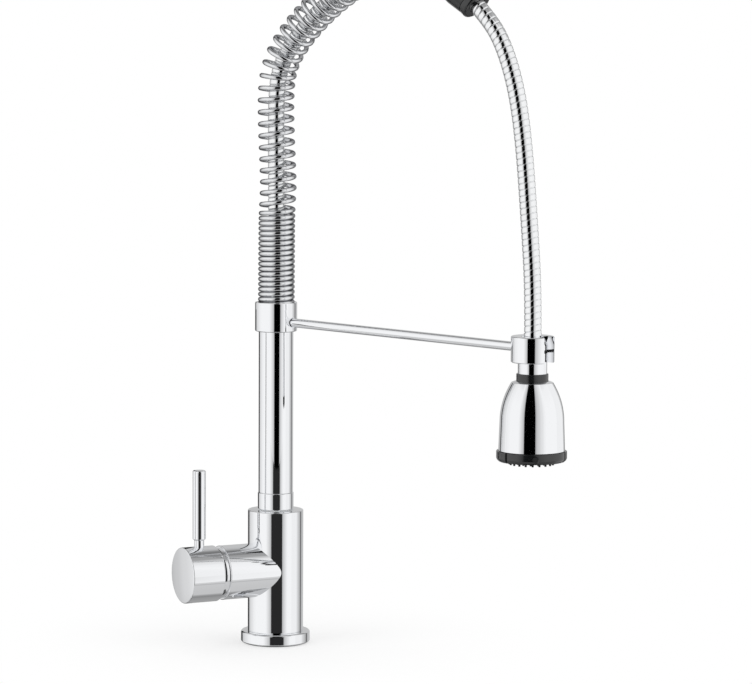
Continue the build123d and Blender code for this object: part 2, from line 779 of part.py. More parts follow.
def arch_at(length):
    """Point on the arch, heading there and how sharply it bends."""
    for stretch_length, start, heading, radius in arch_stretches():
        if length <= stretch_length:
            break
        length -= stretch_length
    else:
        length += stretch_length
    if radius is None:
        return start + Vector(0, 0, length), heading, 0.0
    centre = start + Vector(math.cos(heading), 0, -math.sin(heading)) * radius
    heading += length / radius
    return centre - Vector(math.cos(heading), 0, -math.sin(heading)) * radius, heading, 1 / radius


arch_length = sum(stretch[0] for stretch in arch_stretches())
arch_end, end_heading, end_bend = arch_at(arch_length)
end_way = Vector(math.sin(end_heading), 0, math.cos(end_heading))
end_side = Vector(math.cos(end_heading), 0, -math.sin(end_heading))

# Spring: close turns, a turn of change, open turns, and a last turn that closes again
spring_length = arch_length - 2 * (wire_radius + wire_end_gap)
open_pitch = (spring_length - (close_turns + 1) * close_pitch) / (open_turns - 1)
total_turns = close_turns + open_turns


def travel(turns):
    """Length along the arch after this many turns."""
    change = (open_pitch - close_pitch) / 2
    length = close_pitch * turns
    ramp = min(max(turns - close_turns, 0), 1)
    length += change * ramp * ramp
    length += 2 * change * max(turns - close_turns - 1, 0)
    closing = max(turns - total_turns + 1, 0)
    return length - change * closing * closing


def coil_at(turns):
    """Point on the middle of the wire after this many turns."""
    point, heading, bend = arch_at(wire_radius + wire_end_gap + travel(turns))
    to_end = min(turns, total_turns - turns)
    radius = coil_radius - end_draw_in * max(1 - 2 * to_end, 0)
    angle = math.radians(first_coil_angle + 360 * turns)
    side = Vector(math.cos(heading), 0, -math.sin(heading))
    return point + side * (radius * math.cos(angle)) + Vector(0, radius * math.sin(angle), 0)


def coil_way(turns):
    """Direction of the wire after this many turns."""
    step = 0.001
    return (coil_at(turns + step) - coil_at(turns - step)).normalized()


def arc_pair(start, start_way, end, end_way):
    """Add two arcs that leave start along start_way, meet smoothly and reach end along end_way."""
    across = end - start
    ways = start_way + end_way
    along = across.dot(ways)
    spread = 2 * (1 - start_way.dot(end_way))
    reach_out = (math.sqrt(along * along + spread * across.dot(across)) - along) / spread
    first = start + start_way * reach_out
    second = end - end_way * reach_out
    joint = (first + second) * 0.5
    TangentArc(start, joint, tangent=start_way)
    TangentArc(joint, end, tangent=second - first)


with BuildPart() as neck_spring:
    half_turns = 2 * total_turns
    knots = [coil_at(n / 2) for n in range(half_turns + 1)]
    ways = [coil_way(n / 2) for n in range(half_turns + 1)]
    wire_start = knots[0] - ways[0] * (2 * wire_radius)
    wire_end = knots[-1] + ways[-1] * (2 * wire_radius)
    with BuildLine() as spring_path:
        Line(wire_start, knots[0])
        for n in range(half_turns):
            arc_pair(knots[n], ways[n], knots[n + 1], ways[n + 1])
        Line(knots[-1], wire_end)
    with BuildSketch(Plane(origin=wire_start, x_dir=up, z_dir=ways[0])):
        RegularPolygon(wire_radius, wire_sides)
    sweep(path=spring_path.wires()[0])
neck_spring.part.label = "neck_spring"
export_step(neck_spring.part, "parts/neck_spring.step")

spring_points = [coil_at(n / 36) for n in range(36 * total_turns + 1)]
spring_gap = min(
    (spring_points[n] - spring_points[m]).length
    for n in range(len(spring_points))
    for m in range(n + 27, min(n + 46, len(spring_points)))
)
print("least gap between the spring's turns:", round(spring_gap - 2 * wire_radius, 2))

# Nut, washer and tail that fasten the hose on the riser's nipple
hose_washer_top = nipple_top + hose_washer_thick
with BuildPart() as hose_nut:
    turn(upright, Axis.Z, [
        (nipple_radius + thread_gap, hose_nut_bottom),
        (hose_nut_radius, hose_nut_bottom),
        (hose_nut_radius, hose_nut_top),
        (hose_radius + thread_gap, hose_nut_top),
        (hose_radius + thread_gap, hose_nut_lip),
        (nipple_radius + thread_gap, hose_nut_lip),
    ])
hose_nut.part.label = "hose_nut"
export_step(hose_nut.part, "parts/hose_nut.step")

with BuildPart() as hose_washer:
    ring(upright, Axis.Z, plug_bore, hose_tail_flange, nipple_top, hose_washer_top)
hose_washer.part.label = "hose_washer"
export_step(hose_washer.part, "parts/hose_washer.step")

with BuildPart() as hose_tail:
    ring(upright, Axis.Z, hose_bore, hose_tail_flange, hose_washer_top, hose_nut_lip)
    ring(upright, Axis.Z, hose_bore, hose_radius, hose_nut_lip, hose_tail_top)
hose_tail.part.label = "hose_tail"
export_step(hose_tail.part, "parts/hose_tail.step")

# Hose inside the spring, up to where it goes on in the cap
hose_start = Vector(0, 0, hose_tail_top)
split_point = arch_end + end_way * hose_split
with BuildPart() as neck_hose:
    with BuildLine() as neck_hose_path:
        Line(hose_start, (0, 0, arch_straight_top))
        length = arch_straight_top - spring_seat
        for stretch_length, start, heading, radius in arch_stretches()[1:]:
            length += stretch_length
            TangentArc(start, arch_at(length)[0], tangent=(math.sin(heading), 0, math.cos(heading)))
        Line(arch_end, split_point)
    with BuildSketch(Plane(origin=hose_start, x_dir=(0, 1, 0), z_dir=up)):
        Circle(hose_radius)
        Circle(hose_bore, mode=Mode.SUBTRACT)
    sweep(path=neck_hose_path.wires()[0])
neck_hose.part.label = "neck_hose"
export_step(neck_hose.part, "parts/neck_hose.step")

# Black cap on the end of the spring, and the disc screwed into its front
cap_cut = Plane(origin=arch_end, x_dir=end_side, z_dir=(0, -1, 0))
cap_axis = Axis(arch_end, end_way)
with BuildPart() as spring_cap:
    turn(cap_cut, cap_axis, [
        (cap_bore, 0),
        (cap_plug_bore, -cap_plug_length),
        (cap_plug_radius, -cap_plug_length),
        (cap_plug_radius, 0),
        (spring_cap_radius - spring_cap_edge, 0),
        (spring_cap_radius, spring_cap_edge),
        (spring_cap_front_radius, spring_cap_length),
        (cap_thread_radius + thread_gap, spring_cap_length),
        (cap_thread_radius + thread_gap, spring_cap_length - cap_thread_length),
        (cap_bore, spring_cap_length - cap_thread_length),
    ])
spring_cap.part.label = "spring_cap"
export_step(spring_cap.part, "parts/spring_cap.step")

with BuildPart() as cap_disc:
    cap_disc_top = spring_cap_length + cap_disc_thick
    turn(cap_cut, cap_axis, [
        (cap_bore, spring_cap_length - cap_thread_length),
        (cap_thread_radius, spring_cap_length - cap_thread_length),
        (cap_thread_radius, spring_cap_length),
        (cap_disc_radius, spring_cap_length),
        (cap_disc_radius, cap_disc_top - cap_disc_edge),
        (cap_disc_radius - cap_disc_edge / 3, cap_disc_top - cap_disc_edge / 3),
        (cap_disc_radius - cap_disc_edge, cap_disc_top),
        (cap_bore, cap_disc_top),
    ])
cap_disc.part.label = "cap_disc"
export_step(cap_disc.part, "parts/cap_disc.step")

# Hanging hose: it leaves the cap along the cap's axis and comes down onto the spray
hose_route = [
    split_point + end_way * hose_joint_gap,
    arch_end + end_way * 35.2,
    Vector(216.5, 0, 489.8),
    Vector(229.5, 0, 455.0),
    Vector(236.9, 0, 412.0),
    Vector(242.6, 0, 350.0),
    Vector(reach, 0, 300.0),
    Vector(reach, 0, ferrule_top),
]


def corner_radii(route):
    """Radius of each corner, as large as the two runs beside it allow."""
    radii = []
    for before, corner, after in zip(route, route[1:], route[2:]):
        run_in = corner - before
        run_out = after - corner
        half_turn = math.radians(run_in.get_angle(run_out)) / 2
        radii.append(0.45 * min(run_in.length, run_out.length) / math.tan(half_turn))
    return radii


hose_radii = corner_radii(hose_route)
print("radii of the hanging hose:", [round(radius, 1) for radius in hose_radii])

with BuildPart() as spray_hose:
    with BuildLine() as hose_path:
        FilletPolyline(*hose_route, radius=hose_radii)
    hose_line = hose_path.wires()[0]
    rib_count = round(hose_line.length / rib_pitch)
    root_radius = hose_radius - hose_groove
    for rib in range(rib_count):
        for share, radius in ((0, root_radius), (0.25, hose_radius), (0.75, hose_radius), (1, root_radius)):
            if share == 0 and rib > 0:
                continue
            place = (rib + share) / rib_count
            with BuildSketch(Plane(origin=hose_line @ place, x_dir=(0, 1, 0), z_dir=hose_line % place)):
                Circle(radius)
    loft(ruled=True)
    with BuildSketch(Plane(origin=hose_route[0], x_dir=(0, 1, 0), z_dir=end_way)):
        Circle(hose_bore)
    sweep(path=hose_line, mode=Mode.SUBTRACT)
spray_hose.part.label = "spray_hose"
export_step(spray_hose.part, "parts/spray_hose.step")

print("hanging hose:", round(hose_line.length, 1), "long,", rib_count, "ribs")

# Neck of the spray, which slides up into the holder
with BuildPart() as spray_neck:
    cone_top_radius = neck_radius - (cone_top - cone_bottom) * cone_slope
    turn(spray_cut, spray_axis, [
        (neck_spigot_bore, neck_spigot_bottom),
        (neck_spigot_radius, neck_spigot_bottom),
        (neck_spigot_radius, neck_bottom),
        (neck_radius, neck_bottom),
        (neck_radius, cone_bottom),
        (cone_top_radius, cone_top),
        (valve_radius + thread_gap, cone_top),
        (valve_radius + thread_gap, valve_bottom),
        (neck_spigot_bore, valve_bottom),
    ])
    for height, radius, depth in (
        (neck_seal_height, neck_radius, neck_seal_depth),
        (core_seal_height, neck_spigot_radius, seal_depth),
    ):
        low = height - seal_width / 2
        ring(spray_cut, spray_axis, radius - depth, radius, low, low + seal_width, Mode.SUBTRACT)
    clip_root = neck_spigot_radius - snap_groove_depth
    clip_groove_top = clip_bottom + snap_thick + play
    ring(
        spray_cut, spray_axis, clip_root, neck_spigot_radius, clip_bottom - play, clip_groove_top, Mode.SUBTRACT
    )
spray_neck.part.label = "spray_neck"
export_step(spray_neck.part, "parts/spray_neck.step")

# Rubber ring of the neck, seen in the holder's slot
with BuildPart() as neck_seal:
    low = neck_seal_height - seal_width / 2
    ring(spray_cut, spray_axis, neck_radius - neck_seal_depth, neck_radius, low, low + seal_width)
neck_seal.part.label = "neck_seal"
export_step(neck_seal.part, "parts/neck_seal.step")

# Rubber ring between the neck and the head
with BuildPart() as core_seal:
    low = core_seal_height - seal_width / 2
    ring(spray_cut, spray_axis, neck_spigot_radius - seal_depth, neck_spigot_radius, low, low + seal_width)
core_seal.part.label = "core_seal"
export_step(core_seal.part, "parts/core_seal.step")

# Clip that keeps the head on the neck
with BuildPart() as head_clip:
    ring(spray_cut, spray_axis, clip_root + thread_gap, snap_radius, clip_bottom, clip_bottom + snap_thick)
    with BuildSketch(spray_plane(clip_bottom)):
        with Locations((-snap_radius, 0)):
            Rectangle(snap_radius, snap_opening)
    extrude(amount=snap_thick, mode=Mode.SUBTRACT)
head_clip.part.label = "head_clip"
export_step(head_clip.part, "parts/head_clip.step")

# Black collar under the neck's shoulder
with BuildPart() as neck_collar:
    collar_bore = neck_spigot_radius + thread_gap
    ring(spray_cut, spray_axis, collar_bore, black_collar_radius, black_collar_bottom, neck_bottom)
neck_collar.part.label = "neck_collar"
export_step(neck_collar.part, "parts/neck_collar.step")

# Sleeve at the hose's lower end, screwed into the neck
filter_top = valve_top + filter_flange
with BuildPart() as hose_ferrule:
    ring(spray_cut, spray_axis, hose_bore, valve_radius, filter_top, cone_top)
    ring(spray_cut, spray_axis, hose_bore, ferrule_radius, cone_top, ferrule_top)
hose_ferrule.part.label = "hose_ferrule"
export_step(hose_ferrule.part, "parts/hose_ferrule.step")

# Gauze filter under the sleeve
with BuildPart() as inlet_filter:
    inner = filter_radius - filter_wall
    turn(spray_cut, spray_axis, [
        (inner, valve_top),
        (valve_radius, valve_top),
        (valve_radius, filter_top),
        (filter_radius, filter_top),
        (filter_radius, filter_top + filter_height),
        (0, filter_top + filter_height),
        (0, filter_top + filter_height - filter_wall),
        (inner, filter_top + filter_height - filter_wall),
    ])
inlet_filter.part.label = "inlet_filter"
export_step(inlet_filter.part, "parts/inlet_filter.step")

# Check valve: housing with its seat above and the stem's guide below
valve_bore = valve_radius - valve_wall
seat_height = valve_top - valve_roof
floor_top = valve_bottom + valve_floor
stem_bore = poppet_stem_radius + running_gap
with BuildPart() as check_housing:
    ring(spray_cut, spray_axis, stem_bore, valve_radius, valve_bottom, valve_top)
    ring(spray_cut, spray_axis, 0, valve_bore, floor_top, seat_height, Mode.SUBTRACT)
    ring(spray_cut, spray_axis, 0, valve_seat_radius, seat_height, valve_top, Mode.SUBTRACT)
    flow_holes = PolarLocations((stem_bore + valve_bore) / 2, 3)
    with BuildSketch(spray_plane(valve_bottom)):
        with flow_holes:
            Circle((valve_bore - stem_bore) / 3)
    extrude(amount=valve_floor, mode=Mode.SUBTRACT)
check_housing.part.label = "check_housing"
export_step(check_housing.part, "parts/check_housing.step")

with BuildPart() as check_poppet:
    poppet_bottom = seat_height - play / 2 - poppet_thick
    ring(spray_cut, spray_axis, 0, poppet_radius, poppet_bottom, poppet_bottom + poppet_thick)
    ring(spray_cut, spray_axis, 0, poppet_stem_radius, valve_bottom - poppet_stem_end, poppet_bottom)
check_poppet.part.label = "check_poppet"
export_step(check_poppet.part, "parts/check_poppet.step")

# The check valve's spring, as the plain space that its small coils fill
with BuildPart() as check_spring:
    inner = check_spring_radius - check_spring_wall
    ring(spray_cut, spray_axis, inner, check_spring_radius, floor_top, poppet_bottom)
check_spring.part.label = "check_spring"
export_step(check_spring.part, "parts/check_spring.step")


# Bell
bell_ceiling = bell_top - bell_wall
with BuildPart() as spray_bell:
    ceiling_radius = bell_shoulder_radius - bell_wall
    hole_radius = core_neck_radius + thread_gap
    with BuildSketch(spray_cut):
        with BuildLine():
            Polyline(
                (bell_waist_radius, bell_waist),
                (bell_foot_radius, bell_bottom),
                (bell_foot_radius - bell_wall, bell_bottom),
                (bell_waist_radius - bell_wall, bell_waist),
                (bell_waist_radius - 2 * bell_wall, bell_swell),
                (ceiling_radius, bell_ceiling),
                (hole_radius, bell_ceiling),
                (hole_radius, bell_top),
                (bell_crown_radius, bell_top),
                (bell_shoulder_radius, bell_shoulder),
            )
            Bezier(
                (bell_shoulder_radius, bell_shoulder),
                (bell_waist_radius, bell_swell),
                (bell_waist_radius, bell_waist),
            )
        make_face()
    revolve(axis=spray_axis)
spray_bell.part.label = "spray_bell"
export_step(spray_bell.part, "parts/spray_bell.step")

# Core that carries the water through the bell
with BuildPart() as spray_core:
    core_top = black_collar_bottom - play
    turn(spray_cut, spray_axis, [
        (0, journal_bottom),
        (journal_radius, journal_bottom),
        (journal_radius, core_flange_bottom),
        (core_flange_radius, core_flange_bottom),
        (core_flange_radius, core_flange_top),
        (core_column_radius, core_flange_top),
        (core_column_radius, core_shoulder_bottom),
        (core_shoulder_radius, core_shoulder_bottom),
        (core_shoulder_radius, bell_ceiling),
        (core_neck_radius, bell_ceiling),
        (core_neck_radius, core_top),
        (0, core_top),
    ])
    ring(spray_cut, spray_axis, 0, neck_spigot_radius + running_gap, core_well_bottom, core_top, Mode.SUBTRACT)
    clip_space = snap_radius + running_gap
    ring(spray_cut, spray_axis, 0, clip_space, clip_bottom - play, clip_groove_top, Mode.SUBTRACT)
    ring(spray_cut, spray_axis, 0, core_passage_radius, jet_shank_top, core_well_bottom, Mode.SUBTRACT)
    ring(spray_cut, spray_axis, 0, core_chamber_radius, journal_bottom, core_chamber_top, Mode.SUBTRACT)
    ring(spray_cut, spray_axis, 0, jet_shank_radius + thread_gap, core_chamber_top, jet_shank_top, Mode.SUBTRACT)
spray_core.part.label = "spray_core"
export_step(spray_core.part, "parts/spray_core.step")

# Jet in the middle, which also holds the face plate on the core
with BuildPart() as jet_insert:
    turn(spray_cut, spray_axis, [
        (jet_bore, jet_bottom),
        (jet_radius, jet_bottom),
        (jet_radius, face_bottom - play),
        (jet_shank_radius, face_bottom - play),
        (jet_shank_radius, jet_shank_top),
        (jet_bore, jet_shank_top),
    ])
jet_insert.part.label = "jet_insert"
export_step(jet_insert.part, "parts/jet_insert.step")

# Black ring that is turned to change the spray, with two grips and a round bump
with BuildPart() as mode_ring:
    with BuildSketch(spray_plane(ring_bottom)):
        Circle(ring_radius)
    extrude(amount=ring_top - ring_bottom)
    for heading in (grip_heading, grip_heading + 180):
        with BuildSketch(spray_plane(ring_bottom)):
            with BuildLine():
                start = PolarLine((0, 0), ring_radius + grip_height, heading - grip_width / 2)
                end = PolarLine((0, 0), ring_radius + grip_height, heading + grip_width / 2)
                RadiusArc(start @ 1, end @ 1, -ring_radius - grip_height)
            make_face()
        extrude(amount=ring_top - ring_bottom)
    ring(
        spray_cut, spray_axis, 0, journal_radius + running_gap, face_top, ring_top, Mode.SUBTRACT
    )
    ring(spray_cut, spray_axis, 0, face_radius + thread_gap, ring_bottom, face_top, Mode.SUBTRACT)
    # Lower edge drawn in
    outer = ring_radius + grip_height
    turn(spray_cut, spray_axis, [
        (outer - ring_edge, ring_bottom),
        (outer + play, ring_bottom),
        (outer + play, ring_bottom + ring_edge),
        (outer - ring_edge / 4, ring_bottom + ring_edge / 2),
    ], Mode.SUBTRACT)
    bump_turn = math.radians(bump_heading)
    bump_way = Vector(math.cos(bump_turn), math.sin(bump_turn), 0)
    bump_plane = Plane(
        origin=Vector(reach, 0, bump_level) + bump_way * (ring_radius - bump_height), x_dir=up, z_dir=bump_way
    )
    circles(bump_plane, bump_radius, 2 * bump_height)
mode_ring.part.label = "mode_ring"
export_step(mode_ring.part, "parts/mode_ring.step")

# Face plate in the ring
with BuildPart() as spray_face:
    ring(spray_cut, spray_axis, jet_shank_radius + running_gap, face_radius, face_bottom, face_top)
spray_face.part.label = "spray_face"
export_step(spray_face.part, "parts/spray_face.step")

# Rubber nozzles on the face plate
with BuildPart() as spray_nozzles:
    for circle_radius, count in nozzle_rings:
        with BuildSketch(spray_plane(nozzle_tip)):
            with PolarLocations(circle_radius, count):
                RegularPolygon(nozzle_radius, nozzle_sides)
        extrude(amount=face_bottom - nozzle_tip)
spray_nozzles.part.label = "spray_nozzles"
export_step(spray_nozzles.part, "parts/spray_nozzles.step")
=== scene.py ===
import json
import math

import bmesh
import bpy
from mathutils import Matrix, Vector


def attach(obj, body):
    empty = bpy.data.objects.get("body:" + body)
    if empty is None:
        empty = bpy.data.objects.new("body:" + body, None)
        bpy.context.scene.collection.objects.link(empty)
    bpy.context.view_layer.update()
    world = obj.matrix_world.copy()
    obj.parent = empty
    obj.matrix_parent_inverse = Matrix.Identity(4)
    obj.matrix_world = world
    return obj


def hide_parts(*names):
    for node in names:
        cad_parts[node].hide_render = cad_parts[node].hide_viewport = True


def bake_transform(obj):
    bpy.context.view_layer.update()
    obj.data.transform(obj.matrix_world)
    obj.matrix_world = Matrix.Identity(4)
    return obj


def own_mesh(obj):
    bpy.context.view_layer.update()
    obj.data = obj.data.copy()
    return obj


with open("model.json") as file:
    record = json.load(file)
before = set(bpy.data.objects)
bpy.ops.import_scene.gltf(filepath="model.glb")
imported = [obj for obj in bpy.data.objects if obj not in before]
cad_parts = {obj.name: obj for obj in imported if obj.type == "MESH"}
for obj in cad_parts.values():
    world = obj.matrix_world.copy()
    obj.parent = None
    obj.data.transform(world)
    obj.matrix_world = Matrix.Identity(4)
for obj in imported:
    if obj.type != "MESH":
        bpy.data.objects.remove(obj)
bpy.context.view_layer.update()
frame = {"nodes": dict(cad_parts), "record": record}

# Lengths below are millimetres, as on a maker's drawing; a finished mesh is in metres.
MM = 0.001

# The same levels as the frame's
FOOT_TOP = 9.8
CAVITY_TOP = 24.0
BODY_TOP = 108.6
SLEEVE_SHOULDER = 123.0
BRANCH_TURN = math.radians(-117.6)
BRANCH_WAY = Vector((math.cos(BRANCH_TURN), math.sin(BRANCH_TURN), 0))
BRANCH_HEIGHT = 60.0
PIN_REACH = 67.8
SPRAY_REACH = 246.5
ARM_RISER_HEIGHT = 262.0
ARM_SPRAY_HEIGHT = 255.7
NECK_END_WAY = Vector((0.74314, 0, -0.66913))
NECK_END = Vector((175.451, 0, 532.911))
UP = Vector((0, 0, 1))


def place(origin, axis, side):
    """Matrix from a turned piece's own millimetres, with its axis as z, to metres in the frame."""
    axis = axis.normalized()
    across = axis.cross(side).normalized()
    side = across.cross(axis)
    turned_to = Matrix((side, across, axis)).transposed().to_4x4()
    return Matrix.Scale(MM, 4) @ Matrix.Translation(origin) @ turned_to


UPRIGHT = place(Vector(), UP, Vector((1, 0, 0)))
BRANCH = place(Vector((0, 0, BRANCH_HEIGHT)), BRANCH_WAY, UP)
PIN = place(Vector((0, 0, BRANCH_HEIGHT)) + BRANCH_WAY * PIN_REACH, UP, BRANCH_WAY)
SPRAY = place(Vector((SPRAY_REACH, 0, 0)), UP, Vector((1, 0, 0)))
ARM_WAY = Vector((SPRAY_REACH, 0, ARM_SPRAY_HEIGHT - ARM_RISER_HEIGHT))
ARM = place(Vector((0, 0, ARM_RISER_HEIGHT)), ARM_WAY, Vector((0, 1, 0)))
CAP = place(NECK_END, NECK_END_WAY, Vector((0.66913, 0, 0.74314)))


# Materials

def linear(shade):
    """Linear colour, with alpha, of an sRGB hex value."""
    parts = [int(shade[n:n + 2], 16) / 255 for n in (1, 3, 5)]
    return [p / 12.92 if p <= 0.04045 else ((p + 0.055) / 1.055) ** 2.4 for p in parts] + [1.0]


def add(tree, kind, inputs=None, **settings):
    """Add a node with its settings, and a value or another node's output for each input named."""
    node = tree.nodes.new(kind)
    for name, value in settings.items():
        setattr(node, name, value)
    for name, value in (inputs or {}).items():
        if isinstance(value, bpy.types.NodeSocket):
            tree.links.new(value, node.inputs[name])
        else:
            node.inputs[name].default_value = value
    return node


def material(name, shade, **sockets):
    """A Principled material of this colour, and its tree and shader for the patterns to come."""
    made = bpy.data.materials.new(name)
    made.use_nodes = True
    tree = made.node_tree
    shader = tree.nodes["Principled BSDF"]
    shader.inputs["Base Color"].default_value = linear(shade)
    for socket, value in sockets.items():
        shader.inputs[socket.replace("_", " ")].default_value = value
    return made, tree, shader


def grained(made, size, rough, relief, depth):
    """Vary a material's roughness and relief with a grain of this size in millimetres."""
    material_made, tree, shader = made
    where = add(tree, "ShaderNodeTexCoord")
    grain = add(tree, "ShaderNodeTexNoise", {
        "Vector": where.outputs["Object"], "Scale": 1 / (size * MM), "Detail": 3.0, "Roughness": 0.55,
    })
    spread = add(tree, "ShaderNodeMapRange", {
        "Value": grain.outputs["Fac"], "From Min": 0.3, "From Max": 0.7,
        "To Min": rough[0], "To Max": rough[1],
    })
    tree.links.new(spread.outputs["Result"], shader.inputs["Roughness"])
    bump = add(tree, "ShaderNodeBump", {
        "Height": grain.outputs["Fac"], "Strength": relief, "Distance": depth * MM,
    })
    tree.links.new(bump.outputs["Normal"], shader.inputs["Normal"])
    return material_made


# Chrome plate over polished brass: a mirror, with the slight waviness that hand polishing leaves
chrome_plate = grained(
    material("chrome_plate", "#F3F4F6", Metallic=1.0), 14.0, (0.025, 0.05), 0.12, 0.02
)
# Plated steel strip wound into the hoses: a little duller than the castings, with fine lines from rolling
hose_strip = grained(
    material("rolled_hose_strip", "#F3F4F5", Metallic=1.0), 2.5, (0.05, 0.1), 0.12, 0.02
)
# Plated spring wire, with the drawing die's faint marks: bright face on, and darker at a glance through a
# dark edge tint, a painted shade along the edges of the turns where they shade each other
spring_wire = grained(
    material("plated_spring_wire", "#E6E7E9", Metallic=1.0, Specular_Tint=(0.2, 0.2, 0.21, 1.0)),
    3.0, (0.03, 0.07), 0.12, 0.02,
)
# Stainless steel of the small screws, rings and gauze: turned and left bright
stainless = grained(
    material("turned_stainless_steel", "#B9BABB", Metallic=1.0), 0.8, (0.22, 0.34), 0.2, 0.02
)
# Brass bar, turned: yellow, with soft tool marks
turned_brass = grained(
    material("turned_brass", "#D6B36A", Metallic=1.0), 0.9, (0.2, 0.32), 0.2, 0.02
)
# Black ABS with a fine spark-eroded grain, which gives a soft satin sheen
black_abs = grained(
    material("grained_black_abs", "#121314", Specular_IOR_Level=0.8), 0.45, (0.13, 0.2), 0.12, 0.01
)
# Acetal of the sliding parts: white, slightly waxy
white_acetal = grained(
    material("moulded_white_acetal", "#E4E5E5", Subsurface_Weight=0.05), 1.2, (0.3, 0.42), 0.15, 0.02
)
# Alumina discs: lapped flat, off-white
lapped_alumina = grained(
    material("lapped_alumina", "#F1EEE4"), 0.5, (0.12, 0.2), 0.1, 0.01
)
# Nitrile rubber of the rings and nozzles: matt black, faintly grey where it is rubbed
nitrile_rubber = grained(
    material("nitrile_rubber", "#18191A", Specular_IOR_Level=0.35), 0.7, (0.55, 0.75), 0.3, 0.04
)

FINISHES = {
    "chrome": chrome_plate,
    "spring_steel": spring_wire,
    "hose_steel": hose_strip,
    "steel": stainless,
    "brass": turned_brass,
    "black_plastic": black_abs,
    "white_plastic": white_acetal,
    "ceramic": lapped_alumina,
    "rubber": nitrile_rubber,
}

# Frame nodes keep their shape and get the finish of their slot
node_slots = {part["node"]: part["material_slot"] for part in frame["record"]["subparts"]}
node_bodies = {
    node: body for body, nodes in frame["record"]["behaviour"]["bodies"].items() for node in nodes
}
for node, held in frame["nodes"].items():
    held.data.materials.clear()
    held.data.materials.append(FINISHES[node_slots[node]])


# Turning, cutting and finishing

SHARP = math.radians(34)
BREAK = math.radians(22)


def kept(shape, name):
    """A mesh object from a bmesh, which is freed."""
    mesh = bpy.data.meshes.new(name)
    shape.to_mesh(mesh)
    shape.free()
    made = bpy.data.objects.new(name, mesh)
    bpy.context.collection.objects.link(made)
    return made


def turned_shape(profile, steps=96, edge=0.3):
    """Spin a profile of (radius, height) points round z, and break its sharp edges by edge."""
    shape = bmesh.new()
    points = [shape.verts.new((radius, 0, height)) for radius, height in profile]
    pairs = list(zip(points, points[1:] + points[:1]))
    if profile[0][0] == 0 and profile[-1][0] == 0:
        pairs.pop()
    lines = [shape.edges.new(pair) for pair in pairs]
    bmesh.ops.spin(
        shape, geom=points + lines, cent=(0, 0, 0), axis=(0, 0, 1), angle=2 * math.pi, steps=steps,
        use_merge=True, use_duplicate=False,
    )
    bmesh.ops.remove_doubles(shape, verts=shape.verts[:], dist=1e-4)
    bmesh.ops.recalc_face_normals(shape, faces=shape.faces[:])
    if edge:
        sharp = [line for line in shape.edges if line.is_manifold and line.calc_face_angle() > BREAK]
        bmesh.ops.bevel(
            shape, geom=sharp, offset=edge, segments=2, profile=0.5, affect="EDGES",
            clamp_overlap=True, material=-1,
        )
    return shape


def smooth(made):
    """Shade smoothly, apart from the edges that are still sharp."""
    shape = bmesh.new()
    shape.from_mesh(made.data)
    for face in shape.faces:
        face.smooth = True
    for line in shape.edges:
        line.smooth = not (line.is_manifold and line.calc_face_angle() > SHARP)
    shape.to_mesh(made.data)
    shape.free()
    even = made.modifiers.new("even_shading", "WEIGHTED_NORMAL")
    even.keep_sharp = True
    even.weight = 50


def finish_piece(made, node):
    """Give a piece its node's finish, let it stand for the node and ride where the node rides."""
    slot = node_slots[node]
    made.data.materials.clear()
    made.data.materials.append(FINISHES[slot])
    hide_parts(node)
    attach(made, node_bodies[node])


def turned(node, profile, where, edge=0.3, steps=96):
    """Make a turned piece that stands for a node."""
    made = kept(turned_shape(profile, steps, edge), node + "_turned")
    made.data.transform(where)
    smooth(made)
    finish_piece(made, node)


def cutter(profile, where, steps=64):
    """A turned shape used only to cut another."""
    made = kept(turned_shape(profile, steps, 0), "cutter")
    made.data.transform(where)
    return made


def cut_block(size, where):
    """A box, centred at where's origin, used only to cut another."""
    shape = bmesh.new()
    bmesh.ops.create_cube(shape, size=1.0, matrix=Matrix.Diagonal((*size, 1)))
    made = kept(shape, "cutter")
    made.data.transform(where)
    return made


def combine(made, tools, operation="DIFFERENCE"):
    """Cut or join made with the tools, which are then removed."""
    for tool in tools:
        step = made.modifiers.new("cut", "BOOLEAN")
        step.operation = operation
        step.solver = "EXACT"
        step.object = tool
        bpy.context.view_layer.update()
        seen = made.evaluated_get(bpy.context.evaluated_depsgraph_get())
        mesh = bpy.data.meshes.new_from_object(seen)
        made.modifiers.clear()
        made.data = mesh
        bpy.data.objects.remove(tool)


def round_normals(made, columns):
    """Give the walls of these round columns, each a place and a radius, their true normals."""
    mesh = made.data
    frames = [(where, where.inverted(), radius) for where, radius in columns]
    normals = [Vector((0, 0, 0))] * len(mesh.loops)
    for face in mesh.polygons:
        for where, back, radius in frames:
            centre = back @ face.center
            facing = (back.to_3x3() @ face.normal).normalized()
            outward = Vector((centre.x, centre.y, 0))
            if abs(outward.length - radius) > 0.1 or facing.dot(outward.normalized()) < 0.99:
                continue
            for loop in face.loop_indices:
                point = back @ mesh.vertices[mesh.loops[loop].vertex_index].co
                straight = where.to_3x3() @ Vector((point.x, point.y, 0))
                normals[loop] = straight.normalized()
    mesh.normals_split_custom_set(normals)


def finish_round(made, node, columns):
    """Shade a cut piece, with true normals on these round columns, and let it stand for its node."""
    smooth(made)
    made.modifiers.clear()
    round_normals(made, columns)
    finish_piece(made, node)


# Foot and body
turned("foot_ring", (
    (20.55, 0.5), (22.0, 0.5), (22.0, 1.95), (26.0, 1.95), (26.0, 0.5), (27.0, 0.5), (28.0, 1.5),
    (28.0, 8.8), (27.0, FOOT_TOP), (20.55, FOOT_TOP),
), UPRIGHT, edge=0.35, steps=128)
turned("foot_seal", ((22.05, 0), (25.95, 0), (25.95, 1.95), (22.05, 1.95)), UPRIGHT, edge=0.6)

